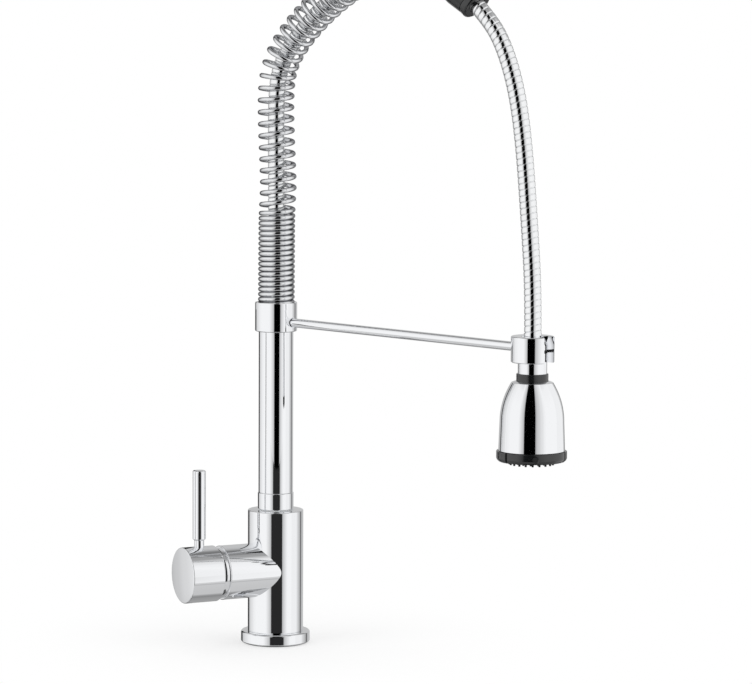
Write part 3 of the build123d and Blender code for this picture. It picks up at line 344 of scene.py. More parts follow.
BODY_RADIUS = 22.5
BRANCH_RADIUS = 21.9
INLET_RISE = 4.2
INLET_SIDE = 7.275
INLET_REACH = 4.0
OUTLET_DROP = 4.5
STUD_REACH = 9.5
body = kept(turned_shape((
    (0, 3.8), (20.5, 3.8), (20.5, FOOT_TOP), (BODY_RADIUS, FOOT_TOP), (BODY_RADIUS, 108.15),
    (22.05, BODY_TOP), (0, BODY_TOP),
), 128, 0.2), "mixer_body_cast")
body.data.transform(UPRIGHT)
branch = kept(turned_shape((
    (0, 0), (BRANCH_RADIUS, 0), (BRANCH_RADIUS, 48.9), (21.4, 49.4), (0, 49.4),
), 128, 0.15), "branch")
branch.data.transform(BRANCH)
combine(body, [branch], "UNION")
ports = place(Vector((0, 0, CAVITY_TOP)), UP, BRANCH_WAY)
bores = [
    cutter(((0, 10), (17.45, 10), (17.45, 40.9), (18.55, 40.9), (18.55, 51), (0, 51)), BRANCH, 96),
    cutter(((0, 3), (17, 3), (17, CAVITY_TOP), (0, CAVITY_TOP)), UPRIGHT, 96),
    cutter(((0, 51.9), (4.6, 51.9), (4.6, 98), (10, 98), (10, 109), (0, 109)), UPRIGHT),
    cutter(((0, 0), (2.6, 0), (2.6, 11), (0, 11)), BRANCH @ Matrix.Translation((-OUTLET_DROP, 0, 0)), 32),
]
for side in (INLET_SIDE, -INLET_SIDE):
    upright = ports @ Matrix.Translation((INLET_REACH, side, 0))
    along = BRANCH @ Matrix.Translation((INLET_RISE, side, 4.0))
    bores.append(cutter(((0, -1), (4.5, -1), (4.5, 9), (3, 9), (3, 43.8), (0, 43.8)), upright, 32))
    bores.append(cutter(((0, 0), (2.6, 0), (2.6, 7), (0, 7)), along, 32))
stud = ports @ Matrix.Translation((STUD_REACH, 0, 0))
bores.append(cutter(((0, -1), (3.4, -1), (3.4, 12), (0, 12)), stud, 32))
combine(body, bores)
finish_round(body, "mixer_body", ((UPRIGHT, BODY_RADIUS), (BRANCH, BRANCH_RADIUS)))

# Lever: trim ring in the gap, cap and pin
turned("trim_ring", (
    (13.8, 55.2), (13.8, 49.4), (16.8, 49.4), (16.8, 48.1), (18.5, 48.1), (18.5, 49.4), (20.3, 49.4),
    (20.3, 51.6), (20.1, 52.7), (19.6, 53.7), (18.8, 54.6), (17.8, 55.2),
), BRANCH, edge=0.2)

CAP_RADIUS = 22.5
cap = kept(turned_shape((
    (0, 62), (21.3, 62), (21.3, 54.9), (CAP_RADIUS, 54.9), (CAP_RADIUS, 81.8), (22.0, 82.3), (0, 82.3),
), 128, 0.25), "lever_cap_turned")
cap.data.transform(BRANCH)
combine(cap, [
    cutter(((0, 0), (3.4, 0), (3.4, 21), (4.05, 21), (4.05, 30), (0, 30)), PIN, 48),
    cut_block((8.1, 7.1, 14.0), BRANCH @ Matrix.Translation((0, 0, 69.0))),
])
finish_round(cap, "lever_cap", ((BRANCH, CAP_RADIUS),))

turned("lever_pin", (
    (0, 11), (3.35, 11), (3.35, 21), (4.0, 21), (4.0, 27.9), (4.4, 28.3), (5.3, 28.9), (5.3, 83.4),
    (5.0, 84.1), (4.3, 84.4), (0, 84.4),
), PIN, edge=0.25)

# Riser
turned("glide_ring", (
    (10, BODY_TOP), (13.9, BODY_TOP), (13.9, 109.3), (10, 109.3),
), UPRIGHT, edge=0.15)
turned("riser_sleeve", (
    (10, 109.35), (14.0, 109.35), (14.5, 109.85), (14.5, 122.5), (14.0, SLEEVE_SHOULDER),
    (12.75, SLEEVE_SHOULDER), (12.75, 134), (10, 134),
), UPRIGHT, edge=0.2)
RISER_TOP = 268.0
turned("riser_tube", (
    (12.8, SLEEVE_SHOULDER), (14, SLEEVE_SHOULDER), (14, RISER_TOP), (12.8, RISER_TOP),
), UPRIGHT, edge=0.15)

COLLAR_RADIUS = 17.0
COLLAR_SCREW_HEIGHT = 262.0
COLLAR_SCREW = place(Vector((0, 0, COLLAR_SCREW_HEIGHT)), Vector((-1, 0, 0)), Vector((0, 1, 0)))
collar = kept(turned_shape((
    (14.05, 254), (16.4, 254), (COLLAR_RADIUS, 254.6), (COLLAR_RADIUS, 276.9), (16.7, 277.5), (16.0, 277.5),
    (16.0, 272), (14.05, 272),
), 96, 0.15), "arm_collar_turned")
collar.data.transform(UPRIGHT)
combine(collar, [
    cutter(((0, 10), (2.55, 10), (2.55, 20), (0, 20)), ARM, 32),
    # A narrow recess all round the arm's root
    cutter(((3.6, 15.6), (4.3, 15.6), (4.3, 18), (3.6, 18)), ARM, 48),
    cutter(((0, 10), (2.05, 10), (2.05, 20), (0, 20)), COLLAR_SCREW, 32),
])
finish_round(collar, "arm_collar", ((UPRIGHT, COLLAR_RADIUS),))

# Arm and holder
HOLDER_RADIUS = 16.75
ARM_RADIUS = 3.6
ARM_SPAN = ARM_WAY.length
arm = kept(turned_shape((
    (0, 8), (ARM_RADIUS, 8), (ARM_RADIUS, ARM_SPAN - 8), (0, ARM_SPAN - 8),
), 48, 0), "holder_arm_rod")
arm.data.transform(ARM)
combine(arm, [
    cutter(((0, 250), (COLLAR_RADIUS, 250), (COLLAR_RADIUS, 280), (0, 280)), UPRIGHT, 96),
    cutter(((0, 240), (HOLDER_RADIUS, 240), (HOLDER_RADIUS, 270), (0, 270)), SPRAY, 96),
])
studs = cutter(((0, 14.6), (2.5, 14.6), (2.5, ARM_SPAN - 14.35), (0, ARM_SPAN - 14.35)), ARM, 32)
combine(arm, [studs], "UNION")
finish_round(arm, "holder_arm", ((ARM, ARM_RADIUS),))

holder = kept(turned_shape((
    (11.4, 245), (16.15, 245), (HOLDER_RADIUS, 245.6), (HOLDER_RADIUS, 264.6), (16.15, 265.2), (8.6, 265.2),
    (11.4, 258.2),
), 96, 0.15), "spray_holder_turned")
holder.data.transform(SPRAY)
combine(holder, [
    cut_block((12.0, 14.0, 30.0), SPRAY @ Matrix.Translation((14.0, 0, 255.0))),
    cutter(((0, ARM_SPAN - 20), (2.55, ARM_SPAN - 20), (2.55, ARM_SPAN - 8), (0, ARM_SPAN - 8)), ARM, 32),
])
finish_round(holder, "spray_holder", ((SPRAY, HOLDER_RADIUS),))

# Neck of the spray and what is on it
turned("spray_neck", (
    (5.5, 216), (9.95, 216), (9.95, 216.9), (9.0, 216.9), (9.0, 218.1), (9.95, 218.1),
    (9.95, 221.8), (8.3, 221.8), (8.3, 224.2), (9.95, 224.2), (9.95, 236.4), (11.3, 236.4), (11.3, 252.4),
    (10.2, 252.4), (10.2, 254.8), (11.3, 254.8), (11.3, 258.2), (8.98, 264), (7.25, 264), (7.25, 231),
    (5.5, 231),
), SPRAY, edge=0.1)
turned("hose_ferrule", (
    (4, 249.5), (7.2, 249.5), (7.2, 264), (6.9, 264), (6.9, 267.4), (4, 267.4),
), SPRAY, edge=0.2)
turned("neck_collar", (
    (10, 230.0), (12.4, 230.0), (12.4, 235.8), (12.2, 236.4), (10, 236.4),
), SPRAY, edge=0.3)


def o_ring(node, rings, where):
    """Make round rubber rings: each the middle radius, the height and the section's radius."""
    shape = bmesh.new()
    for middle, height, section in rings:
        start = bmesh.ops.create_circle(
            shape, segments=12, radius=section,
            matrix=Matrix.Translation((middle, 0, height)) @ Matrix.Rotation(math.pi / 2, 4, "X"),
        )["verts"]
        lines = list({line for vert in start for line in vert.link_edges})
        bmesh.ops.spin(
            shape, geom=start + lines, cent=(0, 0, 0), axis=(0, 0, 1), angle=2 * math.pi, steps=72,
            use_merge=True, use_duplicate=False,
        )
    bmesh.ops.remove_doubles(shape, verts=shape.verts[:], dist=1e-4)
    bmesh.ops.recalc_face_normals(shape, faces=shape.faces[:])
    made = kept(shape, node + "_round")
    made.data.transform(where)
    smooth(made)
    finish_piece(made, node)


o_ring("neck_seal", ((10.45, 253.6, 0.98),), SPRAY)
o_ring("core_seal", ((9.1, 223.0, 0.85),), SPRAY)
o_ring("spigot_seals", ((9.1, 113.0, 0.85), (9.1, 118.5, 0.85)), UPRIGHT)
o_ring("riser_seals", ((11.9, 259.5, 0.85), (11.9, 264.0, 0.85)), UPRIGHT)

# Bell: the side runs straight up from the foot, then curves in to the shoulder
SHOULDER = Vector((16.2, 229.5))
SWELL = Vector((24.9, 215.0))
WAIST = Vector((24.9, 199.0))
flank = []
for n in range(17):
    share = n / 16
    flank.append(
        SHOULDER * (1 - share) ** 2 + SWELL * (2 * share * (1 - share)) + WAIST * share ** 2
    )
bell = [(12.55, 230.6), (13.4, 230.6)] + [tuple(point) for point in flank]
bell += [(25.32, 188.0), (25.7, 177.0), (24.2, 177.0), (23.8, 188.0), (23.4, 199.0)]
bell += [(21.9, 215.0), (14.7, 229.1), (12.55, 229.1)]
turned("spray_bell", bell, SPRAY, edge=0.12, steps=128)

# Mode ring: two grips stand out from it, and a round bump marks the setting
GRIP_HEADING = 44.8
GRIP_WIDTH = 61.0
GRIP_HEIGHT = 0.4
GROOVE_WIDTH = 2.8
GROOVE_DEPTH = 0.8
GRIPPED_RADIUS = 24.0
BUMP_HEADING = math.radians(-50.3)
BUMP_REACH = 26.7
BUMP_HEIGHT = 172.6
BUMP_FOOT = 2.9
BUMP_FACE = 2.6
BUMP_DEPTH = 1.8
BUMP_RIM = 0.5
shape = turned_shape((
    (20.05, 176.7), (26.6, 176.7), (26.9, 176.2), (26.9, 171.2), (26.3, 169.8), (24.9, 168.6),
    (22.45, 168.6), (22.45, 171.5), (20.05, 171.5),
), 192, 0.12)
for vert in shape.verts:
    radius = math.hypot(vert.co.x, vert.co.y)
    heading = math.degrees(math.atan2(vert.co.y, vert.co.x)) - GRIP_HEADING
    off = abs((heading + 90) % 180 - 90)
    if radius > GRIPPED_RADIUS and off < GRIP_WIDTH / 2:
        vert.co.xy *= (radius + GRIP_HEIGHT) / radius
    elif radius > GRIPPED_RADIUS and off < GRIP_WIDTH / 2 + GROOVE_WIDTH:
        vert.co.xy *= (radius - GROOVE_DEPTH) / radius
bump_way = Vector((math.cos(BUMP_HEADING), math.sin(BUMP_HEADING), 0))
bump_tilt = bump_way.to_track_quat("Z", "Y").to_matrix().to_4x4()
bump_place = Matrix.Translation(bump_way * BUMP_REACH + UP * BUMP_HEIGHT) @ bump_tilt
button = bmesh.ops.create_cone(
    shape, cap_ends=True, segments=32, radius1=BUMP_FOOT, radius2=BUMP_FACE, depth=BUMP_DEPTH,
    matrix=bump_place,
)
top = max(
    {face for vert in button["verts"] for face in vert.link_faces},
    key=lambda face: face.calc_center_median().dot(bump_way),
)
bmesh.ops.inset_individual(shape, faces=[top], thickness=BUMP_RIM)
bmesh.ops.translate(shape, verts=top.verts[:], vec=bump_way * -BUMP_RIM)
ring = kept(shape, "mode_ring_moulded")
ring.data.transform(SPRAY)
smooth(ring)
finish_piece(ring, "mode_ring")

turned("spray_face", (
    (4.55, 169.4), (7.5, 169.4), (7.5, 169.8), (9.2, 169.8), (9.2, 169.4), (19.6, 169.4), (19.6, 169.8),
    (21.4, 169.8), (21.4, 169.4), (22.4, 169.4), (22.4, 171.5), (4.55, 171.5),
), SPRAY, edge=0.1)
turned("jet_insert", (
    (2.6, 168.4), (6, 168.4), (6, 169.3), (4.5, 169.3), (4.5, 180), (2.6, 180),
), SPRAY, edge=0.15)

# Nozzles: short rubber cones with a hole at the tip, on circles of a radius and a count
NOZZLE_CIRCLES = ((17.0, 20), (11.5, 12))
NOZZLE_MIDDLE = 167.7
NOZZLE_LENGTH = 3.4
NOZZLE_TIP_RADIUS = 0.8
NOZZLE_FOOT_RADIUS = 1.1
NOZZLE_WALL = 0.35
NOZZLE_HOLE_DEPTH = 0.8
shape = bmesh.new()
for circle, count in NOZZLE_CIRCLES:
    for n in range(count):
        turn = 2 * math.pi * n / count
        spot = Matrix.Translation((circle * math.cos(turn), circle * math.sin(turn), NOZZLE_MIDDLE))
        cone = bmesh.ops.create_cone(
            shape, cap_ends=True, segments=12, radius1=NOZZLE_TIP_RADIUS, radius2=NOZZLE_FOOT_RADIUS,
            depth=NOZZLE_LENGTH, matrix=spot,
        )
        faces = {face for vert in cone["verts"] for face in vert.link_faces}
        tip = min(faces, key=lambda face: face.calc_center_median().z)
        bmesh.ops.inset_individual(shape, faces=[tip], thickness=NOZZLE_WALL)
        bmesh.ops.translate(shape, verts=tip.verts[:], vec=(0, 0, NOZZLE_HOLE_DEPTH))
nozzles = kept(shape, "spray_nozzles_moulded")
nozzles.data.transform(SPRAY)
smooth(nozzles)
finish_piece(nozzles, "spray_nozzles")

# Black cap on the spring's end, with its front disc
turned("spring_cap", (
    (7.0, 0), (8.3, -9), (10.6, -9), (10.6, 0), (14.5, 0), (15.2, 0.4), (15.5, 1.2), (15.35, 5),
    (13.2, 17.5), (10.05, 17.5), (10.05, 11.5), (7.0, 11.5),
), CAP, edge=0.2)
turned("cap_disc", (
    (7.0, 11.5), (10.0, 11.5), (10.0, 17.5), (12.7, 17.5), (13.0, 17.8), (13.0, 22.0), (12.8, 22.7),
    (12.3, 23.4), (11.6, 23.8), (10.6, 24.0), (7.0, 24.0),
), CAP, edge=0.25)


# Lines that the neck and the hanging hose follow

def nurbs(name, points, order):
    """An open NURBS curve through the frame, in metres, that starts and ends at its end points."""
    data = bpy.data.curves.new(name, "CURVE")
    data.dimensions = "3D"
    data.resolution_u = 32
    spline = data.splines.new("NURBS")
    spline.points.add(len(points) - 1)
    for point, where in zip(spline.points, points):
        point.co = (*where, 1.0)
    spline.order_u = order
    spline.use_endpoint_u = True
    made = bpy.data.objects.new(name, data)
    bpy.context.collection.objects.link(made)
    return made


def wire(name, points, radius, rounding):
    """A round wire, this many millimetres in radius, along a smooth curve through the frame."""
    made = nurbs(name, points, 4)
    made.data.resolution_u = 3
    made.data.bevel_depth = radius * MM
    made.data.bevel_resolution = rounding
    made.data.use_fill_caps = True
    return made


def followed(curve):
    """The points of a curve's own line, in order, and its length up to each."""
    bpy.context.view_layer.update()
    mesh = bpy.data.meshes.new_from_object(curve)
    points = [vert.co.copy() for vert in mesh.vertices]
    bpy.data.meshes.remove(mesh)
    lengths = [0.0]
    for before, after in zip(points, points[1:]):
        lengths.append(lengths[-1] + (after - before).length)
    return points, lengths


def along(line, length):
    """Point and direction at this length along a followed line."""
    points, lengths = line
    length = min(max(length, 0.0), lengths[-1])
    low, high = 0, len(lengths) - 1
    while high - low > 1:
        middle = (low + high) // 2
        if lengths[middle] <= length:
            low = middle
        else:
            high = middle
    share = (length - lengths[low]) / (lengths[high] - lengths[low])
    before = points[max(low - 1, 0)]
    after = points[min(high + 1, len(points) - 1)]
    first = (points[high] - before).normalized()
    second = (after - points[low]).normalized()
    return points[low].lerp(points[high], share), first.lerp(second, share).normalized()


NECK_ROUTE = (
    (0, 0, 0.272), (0, 0, 0.3307), (0, 0, 0.3981), (-0.0009, 0, 0.4489), (0.0064, 0, 0.4802),
    (0.0643, 0, 0.5317), (0.1112, 0, 0.5477), (0.1553, 0, 0.5503), (0.1732, 0, 0.535), (0.1829, 0, 0.5262),
)
HOSE_ROUTE = (
    (0.1829, 0, 0.5262), (0.2016, 0, 0.5094), (0.2165, 0, 0.4898), (0.2295, 0, 0.455), (0.2369, 0, 0.412),
    (0.2426, 0, 0.35), (0.2465, 0, 0.3), (0.2465, 0, 0.2674),
)
neck_curve = nurbs("neck_line", NECK_ROUTE, 4)
hose_curve = nurbs("hose_line", HOSE_ROUTE, 3)
neck_line = followed(neck_curve)
hose_line = followed(hose_curve)
bpy.data.objects.remove(neck_curve)
bpy.data.objects.remove(hose_curve)

# Spring: close turns below, open ones above, and a last turn that closes again.
# Pitch in millimetres at each of these turns; it changes evenly in between
WIRE_RADIUS = 1.92
COIL_RADIUS = 12.9
FIRST_ANGLE = 86.4
END_DRAW_IN = 0.1
SPRING_START = 2.15
PITCHES = (
    (0, 4.08), (18.26, 4.08), (19.26, 9.1), (22, 9.0), (26, 9.5), (30, 9.1), (34, 9.6), (38, 8.95),
    (53, 8.95), (54, 4.1),
)
TURNS = PITCHES[-1][0]
# Lengths along the neck, and how far aside of the hose the spring's middle lies there
LEAN = (
    (0, 0.2), (70, 0.5), (80, 0.9), (100, 2.1), (118, 1.4), (136, 0.5), (166, -0.6), (205, -1.5),
    (240, -1.8), (340, -1.2), (400, 0.0),
)


def travel(turns):
    """Length along the neck, in millimetres, after this many turns."""
    length = SPRING_START
    for (first, low), (last, high) in zip(PITCHES, PITCHES[1:]):
        done = min(max(turns - first, 0), last - first)
        length += done * (low + (high - low) * done / (last - first) / 2)
    return length


def lean(length):
    """The spring's offset at this length along it."""
    for (first, low), (last, high) in zip(LEAN, LEAN[1:]):
        if length <= last:
            return low + (high - low) * max(length - first, 0) / (last - first)
    return LEAN[-1][1]


POINTS_A_TURN = 12
# A smooth curve runs a little inside the corners of its control points
HELIX_GROWTH = 3 / (2 + math.cos(2 * math.pi / POINTS_A_TURN))
coil = []
for n in range(TURNS * POINTS_A_TURN + 1):
    turns = n / POINTS_A_TURN
    length = travel(turns)
    point, way = along(neck_line, length * MM)
    to_end = min(turns, TURNS - turns)
    radius = (COIL_RADIUS - END_DRAW_IN * max(1 - 2 * to_end, 0)) * HELIX_GROWTH * MM
    angle = math.radians(FIRST_ANGLE) + 2 * math.pi * turns
    out = Vector((way.z, 0, -way.x))
    aside = radius * math.cos(angle) + lean(length) * MM
    coil.append(point + out * aside + Vector((0, radius * math.sin(angle), 0)))
spring = wire("neck_spring_wound", coil, WIRE_RADIUS, 4)
finish_piece(spring, "neck_spring")

# Small spring of the check valve
VALVE_TURNS = 7
VALVE_POINTS_A_TURN = 10
VALVE_COIL_RADIUS = 2.6
VALVE_COIL_GROWTH = 1.05
VALVE_SPRING_FOOT = 233.4
VALVE_SPRING_RISE = 10.1
VALVE_WIRE_RADIUS = 0.35
coil = []
last_point = VALVE_TURNS * VALVE_POINTS_A_TURN
for n in range(last_point + 1):
    turn = 2 * math.pi * n / VALVE_POINTS_A_TURN
    coil.append((
        (SPRAY_REACH + VALVE_COIL_RADIUS * math.cos(turn) * VALVE_COIL_GROWTH) * MM,
        VALVE_COIL_RADIUS * math.sin(turn) * VALVE_COIL_GROWTH * MM,
        (VALVE_SPRING_FOOT + VALVE_SPRING_RISE * n / last_point) * MM,
    ))
valve_spring = wire("check_spring_line", coil, VALVE_WIRE_RADIUS, 2)
bpy.context.view_layer.update()
wire_mesh = bpy.data.meshes.new_from_object(valve_spring)
bpy.data.objects.remove(valve_spring)
valve_spring = bpy.data.objects.new("check_spring_wound", wire_mesh)
bpy.context.collection.objects.link(valve_spring)
smooth(valve_spring)
finish_piece(valve_spring, "check_spring")
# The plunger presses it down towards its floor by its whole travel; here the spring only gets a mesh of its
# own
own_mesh(valve_spring)

# Wound metal hose: nearly flat turns of strip with a narrow groove between them.
# Shares of one turn's pitch, and the radius there; a turn starts and ends at the groove's floor
HOSE_PITCH = 4.75
STRIP = (
    (0.0, 6.0), (0.05, 6.35), (0.1, 6.56), (0.2, 6.65), (0.8, 6.65), (0.9, 6.56), (0.95, 6.35), (1.0, 6.0),
)
HOSE_COLUMNS = 32


def wound_hose(name, line, start, end):
    """Wind the strip round a line from start to end, millimetres along it, with both ends cut square."""
    turns = round((end - start) / HOSE_PITCH)
    pitch = (end - start) / turns
    strips = len(STRIP) - 1
    shape = bmesh.new()
    bmesh.ops.create_grid(shape, x_segments=(turns + 1) * HOSE_COLUMNS, y_segments=strips, size=0.5)
    for vert in shape.verts:
        wound = (vert.co.x + 0.5) * (turns + 1) - 1
        share, radius = STRIP[round((vert.co.y + 0.5) * strips)]
        point, way = along(line, min(max(start + pitch * (wound + share), start), end) * MM)
        out = Vector((way.z, 0, -way.x))
        turn = 2 * math.pi * wound
        vert.co = point + (out * math.cos(turn) + Vector((0, math.sin(turn), 0))) * radius * MM
    bmesh.ops.remove_doubles(shape, verts=shape.verts[:], dist=1e-6)
    rims = [edge for edge in shape.edges if edge.is_boundary]
    bmesh.ops.holes_fill(shape, edges=rims, sides=0)
    return kept(shape, name)


NECK_HOSE_START = 34.0
NECK_LENGTH = neck_line[1][-1] / MM
HOSE_LENGTH = hose_line[1][-1] / MM
neck_hose = wound_hose("neck_hose_wound", neck_line, NECK_HOSE_START, NECK_LENGTH)
smooth(neck_hose)
finish_piece(neck_hose, "neck_hose")

spray_hose = wound_hose("spray_hose_wound", hose_line, 0.0, HOSE_LENGTH)
smooth(spray_hose)
spray_hose.data.materials.append(hose_strip)
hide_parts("spray_hose")
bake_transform(spray_hose)


# Studio

def card(name, corners, shade):
    """A flat card that only mirrors see."""
    shape = bmesh.new()
    shape.faces.new([shape.verts.new(corner) for corner in corners])
    made = kept(shape, name)
    paint = bpy.data.materials.new(name)
    paint.use_nodes = True
    tree = paint.node_tree
    tree.nodes.clear()
    glow = add(tree, "ShaderNodeEmission", {"Color": linear(shade), "Strength": 1.0})
    add(tree, "ShaderNodeOutputMaterial", {"Surface": glow.outputs["Emission"]})
    made.data.materials.append(paint)
    made.visible_camera = False
    made.visible_diffuse = False
    made.visible_shadow = False
    made.visible_transmission = False
    return glow, tree


# How a card pales towards its sides: share of the fade, and linear grey
PALING = ((0.02, 0.45), (0.2, 0.66), (0.5, 0.83), (0.8, 0.96))


def ramp(tree, value, stops):
    """A smooth ramp of greys from the stops, each a place and a linear grey."""
    made = add(tree, "ShaderNodeValToRGB", {"Fac": value})
    made.color_ramp.interpolation = "EASE"
    for n, (where, grey) in enumerate(stops):
        stop = made.color_ramp.elements[n] if n < 2 else made.color_ramp.elements.new(where)
        stop.position = where
        stop.color = (grey, grey, grey, 1)
    return made.outputs["Color"]


def towards(azimuth, distance, height):
    """A point this far from the riser, at this azimuth round it."""
    turn = math.radians(azimuth)
    return Vector((math.sin(turn) * distance, -math.cos(turn) * distance, height))


def upright_card(name, azimuth, distance, width, low, high, shade, fade=0.0):
    """An upright card that faces the riser, and pales to white over this width at each side."""
    middle = towards(azimuth, distance, 0)
    across = Vector((math.cos(math.radians(azimuth)), math.sin(math.radians(azimuth)), 0))
    side = across * (width / 2 + fade)
    left = middle - side
    right = middle + side
    corners = (left + UP * low, right + UP * low, right + UP * high, left + UP * high)
    glow, tree = card(name, corners, shade)
    if fade:
        where = add(tree, "ShaderNodeTexCoord")
        sideways = add(tree, "ShaderNodeVectorMath", {
            0: where.outputs["Object"], 1: across,
        }, operation="DOT_PRODUCT")
        off = add(tree, "ShaderNodeMath", {0: sideways.outputs["Value"]}, operation="ABSOLUTE")
        share = add(tree, "ShaderNodeMapRange", {
            "Value": off.outputs["Value"], "From Min": width / 2, "From Max": width / 2 + fade,
        })
        pale = ramp(tree, share.outputs["Result"], ((0.0, linear(shade)[0]), (1.0, 1.0), *PALING))
        tree.links.new(pale, glow.inputs["Color"])


# The dark gap between the two soft boxes, beside the camera, and the table's dark edge below it
upright_card("gap_between_boxes", 43.0, 0.685, 0.40, 0.05, 1.6, "#000000", fade=0.45)
upright_card("table_edge", 42.0, 0.69, 0.56, -0.35, 0.05, "#2A2A2A", fade=0.45)
# Narrow stands: their reflections draw the dark lines just inside the outline
upright_card("left_stand", -99.2, 0.112, 0.027, -0.4, 0.262, "#202020")
upright_card("far_stand", -113.0, 0.35, 0.09, -0.4, 1.6, "#464646")
upright_card("left_rod", -30.0, 0.15, 0.011, 0.055, 0.24, "#303030")
upright_card("rod_screen", -21.4, 0.129, 0.02, -0.4, 0.5, "#FFFFFF")
upright_card("right_stand", 163.0, 0.5, 0.09, -0.4, 1.6, "#707070")
# A pale screen beside the spray lights the bell's right edge
upright_card("right_screen", 118.7, 0.377, 0.18, -0.1, 0.6, "#F9F9F9")

# Floor: white paper that keeps the shadow near the foot and runs out into the plain white beyond
FLOOR_REACH = 6.0
FLOOR_DROP = 0.0002
FADE_START = 0.04
FADE_END = 0.24
FADE_LEAST = 0.6
floor_shape = bmesh.new()
bmesh.ops.create_grid(floor_shape, x_segments=1, y_segments=1, size=FLOOR_REACH)
floor = kept(floor_shape, "studio_floor")
floor.data.transform(Matrix.Translation((0, 0, -FLOOR_DROP)))
floor_paint, floor_tree, floor_shader = material("matt_white_paper", "#F8F8F8", Roughness=0.9)
floor_place = add(floor_tree, "ShaderNodeTexCoord")
from_foot = add(floor_tree, "ShaderNodeVectorMath", {0: floor_place.outputs["Object"]}, operation="LENGTH")
fade = add(floor_tree, "ShaderNodeMapRange", {
    "Value": from_foot.outputs["Value"], "From Min": FADE_START, "From Max": FADE_END,
    "To Min": FADE_LEAST,
}, interpolation_type="SMOOTHSTEP")
floor_ray = add(floor_tree, "ShaderNodeLightPath")
seen_fade = add(floor_tree, "ShaderNodeMath", {
    0: fade.outputs["Result"], 1: floor_ray.outputs["Is Camera Ray"],
}, operation="MULTIPLY")
plain_white = add(floor_tree, "ShaderNodeEmission", {"Color": (1, 1, 1, 1), "Strength": 1.0})
floor_mix = add(floor_tree, "ShaderNodeMixShader", {
    0: seen_fade.outputs["Value"], 1: floor_shader.outputs["BSDF"], 2: plain_white.outputs["Emission"],
})
floor_tree.links.new(floor_mix.outputs["Shader"], floor_tree.nodes["Material Output"].inputs["Surface"])
floor.data.materials.append(floor_paint)
floor.visible_glossy = False

# World: mirrors see the room, by height and by azimuth round the riser; everything else sees even white
world = bpy.data.worlds.new("studio")
bpy.context.scene.world = world
world.use_nodes = True
tree = world.node_tree
tree.nodes.clear()
ray = add(tree, "ShaderNodeLightPath")
sky = add(tree, "ShaderNodeTexCoord")
way = add(tree, "ShaderNodeSeparateXYZ", {"Vector": sky.outputs["Generated"]})
height_share = add(tree, "ShaderNodeMapRange", {
    "Value": way.outputs["Z"], "From Min": -1.0, "From Max": 1.0,
})
backwards = add(tree, "ShaderNodeMath", {0: way.outputs["Y"], 1: -1.0}, operation="MULTIPLY")
heading_round = add(tree, "ShaderNodeMath", {
    0: way.outputs["X"], 1: backwards.outputs["Value"],
}, operation="ARCTAN2")
round_share = add(tree, "ShaderNodeMapRange", {
    "Value": heading_round.outputs["Value"], "From Min": -math.pi, "From Max": math.pi,
})

# Share of the way from straight down to straight up, and linear grey of the room there.
# Both lists start with their two ends, as a colour ramp does
LEVELS = (
    (0.0, 0.1), (1.0, 0.36), (0.022, 0.12), (0.04, 0.6), (0.225, 0.63), (0.24, 0.5), (0.275, 0.68),
    (0.4, 1.0), (0.65, 1.0), (0.8, 0.97), (0.88, 0.85), (0.91, 0.62), (0.935, 0.38),
)
levels = ramp(tree, height_share.outputs["Result"], LEVELS)
# Azimuth in degrees and linear grey of the walls round the faucet
ROOM = (
    (-180, 0.55), (180, 0.55), (-150, 0.6), (-135, 0.5), (-110, 0.5), (-101, 0.62), (-91, 0.73),
    (-79, 0.83), (-60, 0.96), (-48, 1.0), (130, 1.0), (145, 0.7), (152, 0.55), (170, 0.45),
)
surround = ramp(tree, round_share.outputs["Result"], [
    ((azimuth + 180) / 360, grey) for azimuth, grey in ROOM
])


# A mix node takes its two colours at these inputs and gives the mixed one at this output
FIRST_COLOUR = 6
SECOND_COLOUR = 7
MIXED_COLOUR = 2


def colour_mix(share, first, second, blend="MIX"):
    """The world's colour this share of the way from the first to the second."""
    mixed = add(world.node_tree, "ShaderNodeMix", {
        "Factor": share, FIRST_COLOUR: first, SECOND_COLOUR: second,
    }, data_type="RGBA", blend_type=blend)
    return mixed.outputs[MIXED_COLOUR]


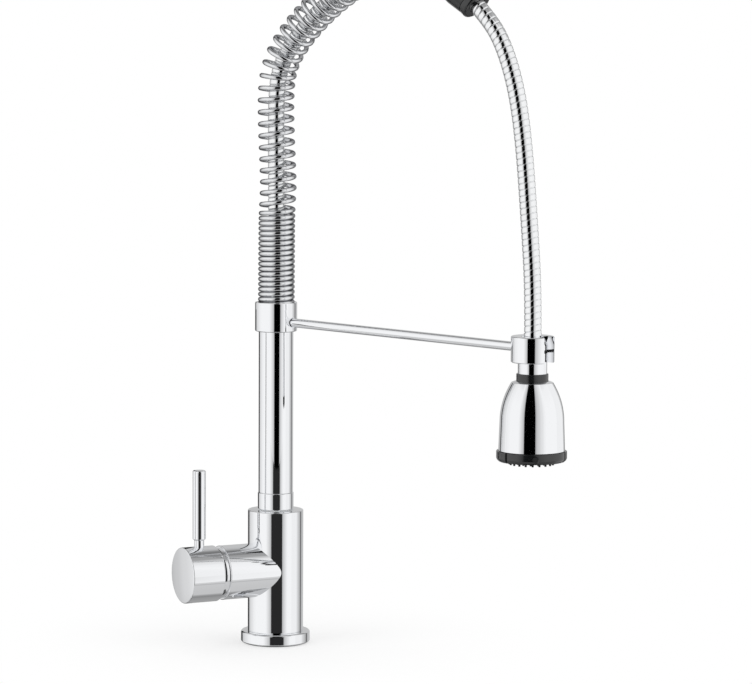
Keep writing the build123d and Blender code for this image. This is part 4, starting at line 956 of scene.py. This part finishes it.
AMBIENT = (0.86, 0.86, 0.86, 1)
WHITE = (1, 1, 1, 1)
mirrored = colour_mix(1.0, levels, surround, "MULTIPLY")
for_mirrors = colour_mix(ray.outputs["Is Glossy Ray"], AMBIENT, mirrored)
for_camera = colour_mix(ray.outputs["Is Camera Ray"], for_mirrors, WHITE)
light = add(tree, "ShaderNodeBackground", {"Color": for_camera, "Strength": 1.0})
add(tree, "ShaderNodeOutputWorld", {"Surface": light.outputs["Background"]})


LAMP_AIM = Vector((0.12, 0, 0.25))


def soft_box(name, azimuth, distance, height, size, watts):
    """Set up a square lamp that faces the faucet's middle."""
    data = bpy.data.lights.new(name, "AREA")
    data.shape = "SQUARE"
    data.size = size
    data.energy = watts
    lamp = bpy.data.objects.new(name, data)
    bpy.context.collection.objects.link(lamp)
    lamp.location = towards(azimuth, distance, height)
    lamp.rotation_euler = (lamp.location - LAMP_AIM).to_track_quat("Z", "Y").to_euler()
    lamp.visible_glossy = False


soft_box("left_box", -20, 1.6, 1.3, 1.2, 9.0)
soft_box("right_box", 95, 1.6, 1.2, 1.2, 7.0)

# Camera, as far away and as high as the photograph's, and as slightly tilted
IMAGE_WIDTH = 752
FOCAL_PIXELS = 3598.0
SENSOR = 36.0
CAMERA_AZIMUTH = 37.02
CAMERA_DISTANCE = 2.890
CAMERA_HEIGHT = 0.541
YAW = 1.60
DROP = 5.843
ROLL = 0.303
lens = bpy.data.cameras.new("photograph")
lens.sensor_width = SENSOR
lens.lens = FOCAL_PIXELS * SENSOR / IMAGE_WIDTH
lens.clip_start = 0.1
lens.clip_end = 50
camera = bpy.data.objects.new("photograph", lens)
bpy.context.collection.objects.link(camera)
camera.location = towards(CAMERA_AZIMUTH, CAMERA_DISTANCE, CAMERA_HEIGHT)
heading = math.radians(CAMERA_AZIMUTH - YAW)
drop = math.radians(DROP)
look = Vector((-math.sin(heading) * math.cos(drop), math.cos(heading) * math.cos(drop), -math.sin(drop)))
level = look.to_track_quat("-Z", "Y").to_matrix()
camera.rotation_euler = (level @ Matrix.Rotation(math.radians(ROLL), 3, "Z")).to_euler()
bpy.context.scene.camera = camera
bpy.context.scene.view_settings.view_transform = "Standard"
